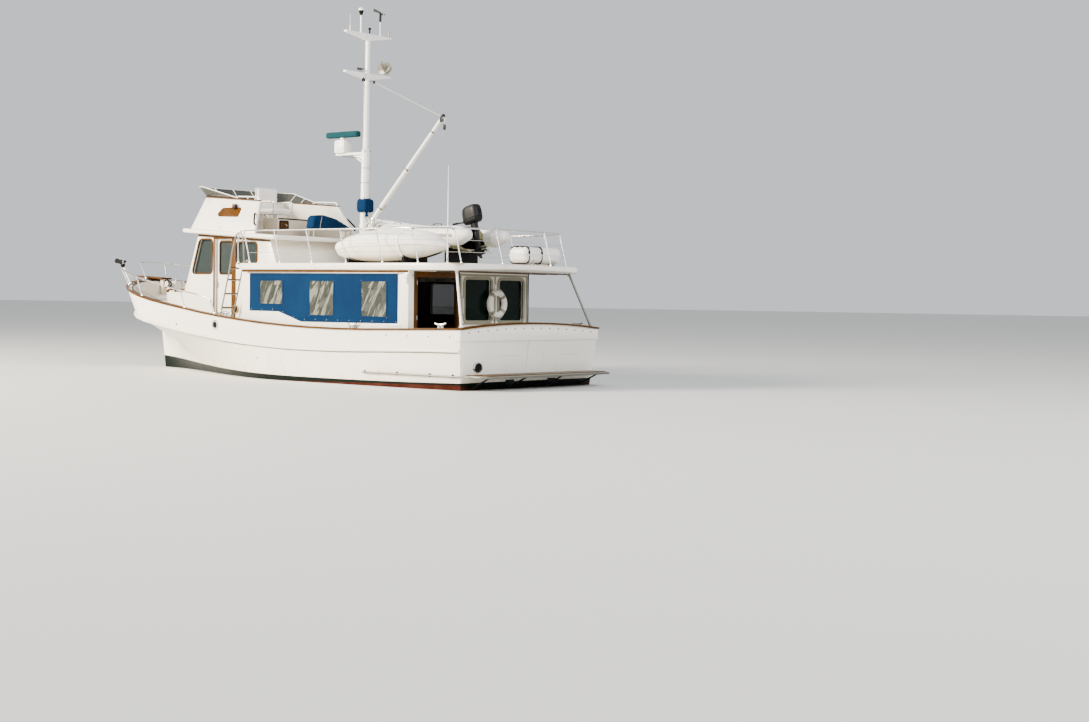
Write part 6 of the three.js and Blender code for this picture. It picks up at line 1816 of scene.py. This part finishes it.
def puffed(low, high, edge, limit):
    """A stuffed cushion: a box of cloth swells under pressure, no point of it further than the limit."""
    bm = blank()
    block(bm, low, high, edge, 3)
    made = loose(bm)
    remesh = made.modifiers.new("even", "REMESH")
    remesh.mode, remesh.voxel_size = "VOXEL", 0.008
    bm = settled(made)
    start = [vert.co.copy() for vert in bm.verts]
    made = loose(bm)
    cloth_made = made.modifiers.new("cloth", "CLOTH")
    cloth_made.settings.use_pressure = True
    cloth_made.settings.uniform_pressure_force = 4
    cloth_made.settings.effector_weights.gravity = 0
    cloth_made.point_cache.frame_start, cloth_made.point_cache.frame_end = 1, 20
    for step in range(1, 21):
        bpy.context.scene.frame_set(step)
    bm = settled(made)
    bpy.context.scene.frame_set(1)
    for vert, home in zip(bm.verts, start):
        move = vert.co - home
        if move.length > limit:
            vert.co = home + move.normalized() * limit
    bmesh.ops.smooth_vert(bm, verts=bm.verts, factor=0.5, use_axis_x=True, use_axis_y=True, use_axis_z=True)
    return bm


def channelled(bm, axis, lines, depth, width):
    """Sewn channels: a surface drawn in along lines."""
    bm.normal_update()
    for vert in bm.verts:
        near = min(abs(vert.co[axis] - line) for line in lines)
        vert.co -= vert.normal * depth * math.exp(-(near / width) ** 2)


def helm_seat():
    """Two cushions on a moulded shell with arms, a column and a foot rest."""
    y = HELM_Y
    cushion = puffed((0.635, y - 0.275, 3.415), (1.095, y + 0.275, 3.49), 0.03, 0.014)
    channelled(cushion, 0, (0.78, 0.93), 0.009, 0.012)
    seat = piece("seat_cushion", cushion, VINYL, sharp=180)
    back = puffed((1.118, y - 0.285, 3.44), (1.178, y + 0.285, 3.935), 0.028, 0.012)
    channelled(back, 2, (3.6, 3.77), 0.008, 0.012)
    rest = piece("seat_back", back, VINYL, sharp=180)
    shell, steel = blanks(2)
    panel = [(1.19, across, z) for across, z in square(y - 0.3, y + 0.3, 3.42, 3.952)]
    plate(shell, rounded(panel, 0.05, 6, closed=True), 0.012, 0.005)
    block(shell, (0.64, y - 0.28, 3.385), (1.19, y + 0.28, 3.402), 0.008)
    for way in SIDES:
        arm = [(0.66, y + way * 0.27, 3.395), (0.65, y + way * 0.272, 3.62), (0.67, y + way * 0.272, 3.64),
               (1.13, y + way * 0.272, 3.64), (1.18, y + way * 0.272, 3.62)]
        sweep(steel, rounded(arm, 0.03, 5), 0.013, 12)
        sweep(shell, [(0.7, y + way * 0.272, 3.652), (1.08, y + way * 0.272, 3.652)], (0.024, 0.01), 4,
              up=(0, 0, 1))
    foot, _ = onto("pilothouse_roof", (0.88, y, 4), (0, 0, -1))
    lathe(steel, [(0, 0), (0.19, 0), (0.19, 0.008), (0.08, 0.03), (0.056, 0.06), (0.054, 0.2),
                  (0.05, 0.202), (0.05, 0.47),
                  (0.12, 0.49), (0, 0.49)], facing(foot), 32)
    bar = [(0.62, y - 0.2, 3.06), (0.6, y - 0.2, 3.02), (0.6, y + 0.2, 3.02), (0.62, y + 0.2, 3.06)]
    sweep(steel, [(0.83, y, foot.z + 0.12), (0.62, y, 3.03)], 0.012, 10)
    sweep(steel, rounded(bar, 0.03), 0.012, 10)
    piece("seat_shell", shell, PLASTIC, replaces="helm_seat")
    piece("seat_steel", steel, RAIL)


side_canvas()
soft_covers()
cover_ties()
skiff()
tender()
outboard()
life_raft()
helm_seat()
screen_frame()
flybridge_sides()
helm_console()
flybridge_locker()


# Bow, decks and cabins
def bow_gear():
    """The planks of the bow platform, its cheeks and roller, and the post below."""
    wood, steel, white, dark = blanks(4)
    low = onto("bow_platform", (5.2, 0.1, 1.5), (0, 0, 1))[0].z - 0.05 * 0.42
    for k in range(5):
        y = -0.12 + k * 0.06
        line = [(x, y, low + 0.05 * (x - 4.78) + 0.0175) for x in (4.78, 5.76)]
        sweep(wood, line, (0.029, 0.0172), 4, up=(0, 0, 1))
    soften(wood, 0.003)
    for side in SIDES:
        cheek = [(5.38, low + 0.032), (5.4, 1.975), (5.74, 1.94), (5.8, low + 0.05)]
        line = rounded([(x, side * 0.062, z) for x, z in cheek], 0.02, 3, closed=True)
        plate(steel, line, -0.005 * side)
        peg(steel, (5.73, side * 0.05, 1.985), (5.73, side * 0.085, 1.985), 0.014)
    lathe(dark, [(0, -0.055), (0.036, -0.055), (0.022, -0.02), (0.02, 0), (0.022, 0.02), (0.036, 0.055),
                 (0, 0.055)],
          facing((5.73, 0, 1.985), (0, 1, 0)), 24)
    block(white, (4.83, -0.06, 1.62), (4.93, 0.06, low - 0.001), 0.01)
    piece("bow_plank", wood, TEAK, replaces="bow_platform")
    piece("bow_cheeks", steel, RAIL)
    piece("bow_roller", dark, RUBBER)
    piece("bow_post", white, CREAM)


def bow_lamp():
    """The lamp on its two legs at the port bow."""
    legs, dark, pale = blanks(3)
    head = Vector((4.64, 1.33, 2.27))
    for x, y in ((4.48, 1.24), (4.86, 0.84)):
        foot, _ = onto("cap_rail", (x, y, 4), (0, 0, -1))
        post(legs, foot, head, 0.015)
    ball(dark, head + Vector((0, 0, 0.02)), (0.05, 0.05, 0.06), 18)
    lathe(dark, [(0, 0), (0.03, 0.0), (0.045, 0.03), (0.052, 0.1), (0.045, 0.2), (0.055, 0.24),
                 (0.055, 0.26), (0, 0.265)],
          facing(head + Vector((-0.02, 0.0, 0.07)), (0.92, -0.05, 0.16)), 22)
    sweep(dark, [head + Vector(p) for p in ((0, 0, 0.04), (-0.06, 0.02, 0.08), (-0.12, 0.03, 0.1))],
          [0.03, 0.024, 0.03], 12)
    hoop(pale, head + Vector((-0.07, 0.05, 0.08)), (0.3, 1, 0.2), 0.034, 0.007, 20)
    piece("bow_lamp_legs", legs, MAST_PAINT, replaces="bow_davit")
    piece("bow_lamp", dark, RUBBER)
    piece("bow_lamp_ring", pale, RAIL)


def foredeck():
    """Handrails on the trunk, the hatch's pane and hinges, and the windlass."""
    wood, steel, glass, dark = blanks(4)
    for side in SIDES:
        aft, fore = 2.72, 3.82
        y0, y1 = (side * (0.84 - 0.1 * (x - 2.58) / 1.37) for x in (aft, fore))
        rail = [(aft, y0, 1.712), (aft + 0.05, y0, 1.765), (fore - 0.05, y1, 1.765), (fore, y1, 1.712)]
        sweep(wood, rounded(rail, 0.05, 4), (0.024, 0.018), 4, up=(0, 0, 1))
        for k in range(1, 4):
            spot = Vector(rail[1]).lerp(Vector(rail[2]), k / 4)
            block(wood, spot + Vector((-0.03, -0.014, -0.054)), spot + Vector((0.03, 0.014, 0)), 0.006)
    soften(wood, 0.004)
    pane = rounded([(x, y, 1.7865) for x, y in square(3.14, 3.58, -0.22, 0.22)], 0.06, 6, closed=True)
    plate(glass, pane, 0.006, 0.002)
    sweep(steel, [p + Vector((0, 0, 0.004)) for p in rounded(widened(pane, 0.012), 0.0, 1, closed=True)],
          0.005, 6,
          closed=True)
    for y in (-0.18, 0.18):
        block(steel, (3.06, y - 0.03, 1.76), (3.12, y + 0.03, 1.79), 0.006)
        block(steel, (3.6, y - 0.02, 1.76), (3.66, y + 0.02, 1.792), 0.005)
    for side in SIDES:
        lathe(steel, [(0.05, -0.0), (0.062, 0.01), (0.07, 0.012), (0.072, 0.03), (0.06, 0.036), (0, 0.036)],
              facing((4.48, side * 0.12, 1.89), (0, side, 0)), 24)
        for k in range(8):
            a = k * math.pi / 4
            spot = Vector((4.48 + 0.058 * math.cos(a), side * 0.14, 1.89 + 0.058 * math.sin(a)))
            block(dark, spot - Vector((0.012, 0.02, 0.012)), spot + Vector((0.012, 0.02, 0.012)), 0.004)
    hoop(dark, (4.48, 0.24, 1.89), (0, 1, 0), 0.085, 0.012, 28)
    hoop(dark, (4.48, 0.17, 1.89), (0, 1, 0), 0.07, 0.01, 28)
    sweep(steel, [(4.48, 0.0, 1.96), (4.46, 0.0, 2.0), (4.4, 0.0, 2.06)], 0.012, 10)
    for y in (-0.1, 0.1):
        lathe(steel, [(0, 0), (0.028, 0), (0.028, 0.012), (0.014, 0.02), (0, 0.02)],
              facing((4.56, y * 0.8, 1.96)), 14)
    piece("trunk_handrails", wood, TEAK)
    piece("foredeck_steel", steel, RAIL)
    piece("hatch_pane", glass, SCREEN)
    piece("windlass_dark", dark, RUBBER)


def deck_strip(bm, xs, inner, outer):
    """A non-skid panel laid on the hull's own deck."""
    rows = []
    for x in xs:
        low, high = inner(x), outer(x)
        row = []
        for k in range(5):
            y = low + (high - low) * k / 4
            point, _ = onto("hull", (x, y, 1.9), (0, 0, -1))
            row.append(point + Vector((0, 0, 0.0012)))
        rows.append(row)
    part = blank()
    loft(part, rows, closed=False)
    bmesh.ops.recalc_face_normals(part, faces=part.faces)
    part.normal_update()
    if sum(face.normal.z for face in part.faces) < 0:
        bmesh.ops.reverse_faces(part, faces=part.faces)
    bmesh.ops.solidify(part, geom=part.faces, thickness=-0.0025)
    add(bm, part)


ROOF_TOP, ROOF_SLOPE, TRUNK_TOP = 2.919, 0.0626, 1.71
PANEL = {"lift": 0.0018, "thick": 0.0022}


def decks():
    """Anti-slip panels on the decks and roof, and the planks of the cockpit."""
    grip, planks, seams = blanks(3)
    edge = lambda x: abs(cap_point(x, 1).y) - 0.13
    for side in SIDES:
        deck_strip(grip, [0.85 + 0.2 * k for k in range(8)], lambda x: side * 1.52,
                   lambda x: side * edge(x))
        deck_strip(grip, [2.62 + 0.2 * k for k in range(7)], lambda x: side * 0.98,
                   lambda x: side * edge(x))
    deck_strip(grip, [4.02 + 0.1 * k for k in range(4)], lambda x: -edge(x) + 0.02,
               lambda x: edge(x) - 0.02)
    deck_strip(grip, [-4.6 + 0.25 * k for k in range(17)], lambda x: -1.5, lambda x: -edge(x))
    decked = [(x0, x1, y0, y1, DECK_TOP, 0) for x0, x1 in ((-5.78, -4.35), (-4.31, -2.65), (-2.61, -0.62))
              for y0, y1 in ((-1.86, -0.02), (0.02, 1.86))]
    decked += [(0.68, 1.38, -1.0, 1.0, ROOF_TOP, ROOF_SLOPE),
               (-0.55, 0.12, -1.45, 1.45, ROOF_TOP, ROOF_SLOPE),
               (2.68, 3.85, 0.32, 0.72, TRUNK_TOP, 0), (2.68, 3.85, -0.72, -0.32, TRUNK_TOP, 0)]
    for *sides, top, slope in decked:
        panel = [(x, y, top + PANEL["lift"] + slope * x) for x, y in square(*sides)]
        plate(grip, rounded(panel, 0.08, 4, closed=True), PANEL["thick"])
    block(seams, (-5.87, -1.85, 0.3505), (-4.71, 1.85, 0.354))
    for k in range(52):
        y = -1.848 + k * 0.0712
        block(planks, (-5.868, y, 0.354), (-4.712, y + 0.066, 0.362))
    piece("deck_grip", grip, NONSKID)
    piece("cockpit_planks", planks, TEAK)
    piece("cockpit_seams", seams, RUBBER)


def cabins():
    """What shows through the glass: console, wheel, chairs, lockers, and the saloon's seats and table."""
    wood, dark, pads, steel = blanks(4)
    block(wood, (1.72, -1.3, 0.885), (2.15, 1.3, 1.6), 0.02)
    block(dark, (1.74, -1.28, 1.602), (2.16, 1.28, 1.66), 0.02)
    block(dark, (1.82, -0.75, 1.66), (1.98, 0.0, 1.84), 0.02)
    block(dark, (1.86, 0.2, 1.66), (1.9, 0.62, 1.92), 0.01)
    hub = Vector((1.62, -0.4, 1.52))
    hoop(wood, hub, (1, 0, 0.2), 0.27, 0.016, 40)
    for k in range(6):
        a = k * math.pi / 3
        sweep(wood, [hub, hub + Vector((0, math.cos(a), math.sin(a))) * 0.33], 0.011, 10)
    lathe(steel, [(0, 0), (0.05, 0), (0.05, 0.02), (0.02, 0.03), (0.02, 0.11)],
          facing(hub - Vector((0.02, 0, 0)), (1, 0, 0)))
    for y in (-0.4, 0.55):
        lathe(steel, [(0, 0), (0.18, 0), (0.18, 0.01), (0.04, 0.04), (0.035, 0.5), (0, 0.5)],
              facing((1.1, y, 0.882)), 20)
        block(pads, (0.88, y - 0.25, 1.38), (1.32, y + 0.25, 1.48), 0.035, 4)
        block(pads, (0.85, y - 0.25, 1.46), (0.93, y + 0.25, 1.98), 0.035, 4)
    block(wood, (-0.42, -0.45, 0.885), (0.25, 1.3, 1.28), 0.015)
    block(pads, (-0.4, -0.42, 1.281), (0.25, 1.28, 1.39), 0.035, 4)
    block(wood, (-3.9, 1.15, 0.455), (-1.4, 1.84, 0.84), 0.015)
    for k in range(3):
        x = -3.88 + k * 0.83
        block(pads, (x, 1.16, 0.842), (x + 0.81, 1.8, 0.96), 0.04, 4)
        block(pads, (x, 1.68, 0.97), (x + 0.81, 1.83, 1.3), 0.04, 4)
    lathe(steel, [(0, 0), (0.16, 0), (0.05, 0.03), (0.045, 0.66), (0.14, 0.69), (0, 0.69)],
          facing((-2.7, 0.55, 0.452)), 20)
    top = rounded([(x, y, 1.145) for x, y in square(-3.3, -2.1, 0.2, 0.95)], 0.08, 5, closed=True)
    plate(wood, top, 0.03, 0.008)
    block(wood, (-3.7, -1.34, 0.455), (-1.0, -0.78, 1.3), 0.015)
    block(dark, (-3.72, -1.35, 1.301), (-0.98, -0.76, 1.335), 0.01)
    lathe(steel, [(0.15, 0.0), (0.155, 0.004), (0.12, 0.004), (0.1, -0.02)], facing((-2.0, -1.05, 1.337)),
          24)
    block(wood, (-4.64, -1.38, 0.455), (-0.55, 1.84, 0.47), 0.0)
    block(wood, (-0.46, -1.33, 0.8815), (2.15, 1.33, 0.893), 0.0)
    piece("cabin_wood", wood, TEAK)
    piece("cabin_dark", dark, BLACK)
    piece("cabin_pads", pads, TEAL)
    piece("cabin_steel", steel, RAIL)


def fittings_aloft():
    """The whip, the dome, the reflector's plates, and the pedestal's rims and cable."""
    white, steel, dark, shaft, cap, plates = blanks(6)
    lathe(white, [(0, 0), (0.035, 0), (0.035, 0.012), (0.014, 0.03), (0.012, 0.6), (0.008, 1.2),
                  (0.0035, 1.79), (0, 1.79)],
          facing((-5.25, 1.6, 2.3105)), 16)
    lathe(steel, [(0.0135, 0), (0.02, 0.004), (0.02, 0.05), (0.0135, 0.054)], facing((-5.25, 1.6, 2.36)),
          16)
    pole = facing((mast_x(7.02), 0.21, 7.0205))
    lathe(shaft, [(0, 0), (0.03, 0), (0.03, 0.012), (0.016, 0.03), (0.016, 0.36), (0, 0.36)], pole, 18)
    lathe(dark, [(0, 0.345), (0.025, 0.355), (0.05, 0.43), (0.056, 0.448), (0, 0.448)], pole, 24)
    lathe(cap, [(0, 0.449), (0.056, 0.449), (0.056, 0.47), (0.05, 0.487), (0.038, 0.5), (0.02, 0.508),
                (0, 0.51)], pole, 24)
    middle = Vector((mast_x(6.22), -0.5, 6.385))
    turn = Matrix.Rotation(0.62, 4, "Y") @ Matrix.Rotation(0.5, 4, "X") @ Matrix.Rotation(0.35, 4, "Z")
    for way in ((0, 0, 1), (1, 0, 0), (0, 1, 0)):
        way = turn @ Vector(way)
        lathe(plates, [(0, -0.0012), (0.148, -0.0012), (0.15, 0), (0.148, 0.0012), (0, 0.0012)],
              facing(middle, way), 40)
        for k in range(4):
            turned = Matrix.Rotation(k * math.pi / 2 + 0.4, 4, "Z")
            spot = facing(middle, way) @ turned @ Vector((0.08, 0, 0))
            peg(plates, spot - way * 0.004, spot + way * 0.004, 0.006)
    peg(plates, middle - Vector((0, 0, 0.166)), middle, 0.011)
    x = -0.88
    for z in (4.72, 4.83):
        line = [(along, y, z) for along, y in square(x - 0.153, x + 0.153, -0.133, 0.133)]
        sweep(white, rounded(line, 0.04, 4, closed=True), 0.003, 6, closed=True)
    cable = [(x + 0.05, 0.0, 4.6), (x - 0.1, 0.03, 4.55), (x - 0.45, 0.04, 4.52),
             (mast_x(4.4) + 0.07, 0.03, 4.4),
             (mast_x(3.8) + 0.085, 0.03, 3.8)]
    sweep(dark, flowing(cable, 0.4, 6), 0.006, 8)
    for z in (4.3, 4.0):
        hoop(dark, (mast_x(z), 0, z), (0, 0, 1), 0.089, 0.003, 28)
    block(white, (-4.51, 2.0525, 1.14), (-4.1, 2.068, 1.172), 0.006)
    piece("whip_antenna", white, PLASTIC)
    piece("dome_shaft", shaft, MAST_PAINT)
    piece("dome_cap", cap, PLASTIC, replaces="satellite_dome")
    piece("reflector_plates", plates, REFLECTOR, replaces="radar_reflector")
    piece("aloft_steel", steel, RAIL)
    piece("aloft_dark", dark, RUBBER)


def underwater():
    """Zincs, the propeller's cap and the skin fittings."""
    zinc, bronze = blanks(2)
    for side in SIDES:
        lathe(zinc, [(0, 0), (0.06, 0), (0.055, 0.014), (0.02, 0.02), (0, 0.02)],
              facing((-5.45, side * 0.0225, -0.85), (0, side, 0)))
        for x, z in ((-3.6, -0.35), (-1.0, -0.45), (1.2, -0.4)):
            point, normal = hull_point(x, z, side)
            lathe(bronze, [(0, 0.0), (0.045, 0.0), (0.042, 0.008), (0.024, 0.012), (0.02, 0.004),
                           (0, 0.004)],
                  facing(point, normal), 20)
    lathe(zinc, [(0.034, -0.05), (0.055, -0.03), (0.055, 0.03), (0.034, 0.05)],
          facing((-4.535, 0, -0.88), (1, 0, 0)), 24)
    lathe(bronze, [(0, -0.075), (0.02, -0.07), (0.034, -0.03), (0.036, 0.0), (0, 0.0)],
          facing((-4.905, 0, -0.88), (1, 0, 0)), 20)
    piece("zincs", zinc, DULL_STEEL)
    piece("skin_fittings", bronze, BRONZE)


bow_gear()
bow_lamp()
foredeck()
decks()
cabins()
fittings_aloft()
underwater()

PAINTS = {
    "windscreen": GLASS, "window_fore_port": GLASS, "window_fore_starboard": GLASS,
    "window_aft_port": GLASS, "window_aft_starboard": GLASS, "saloon_windows_port": GLASS,
    "saloon_windows_starboard": GLASS, "saloon_windows_aft": DEEP_GLASS, "flybridge_screen": SCREEN,
    "pilothouse_door_port": WHITE, "pilothouse_door_starboard": WHITE, "masthead_light": DEEP_GLASS,
}
for node, finish in PAINTS.items():
    held = frame["nodes"][node].data.materials
    if held:
        held[0] = finish.material
    else:
        held.append(finish.material)
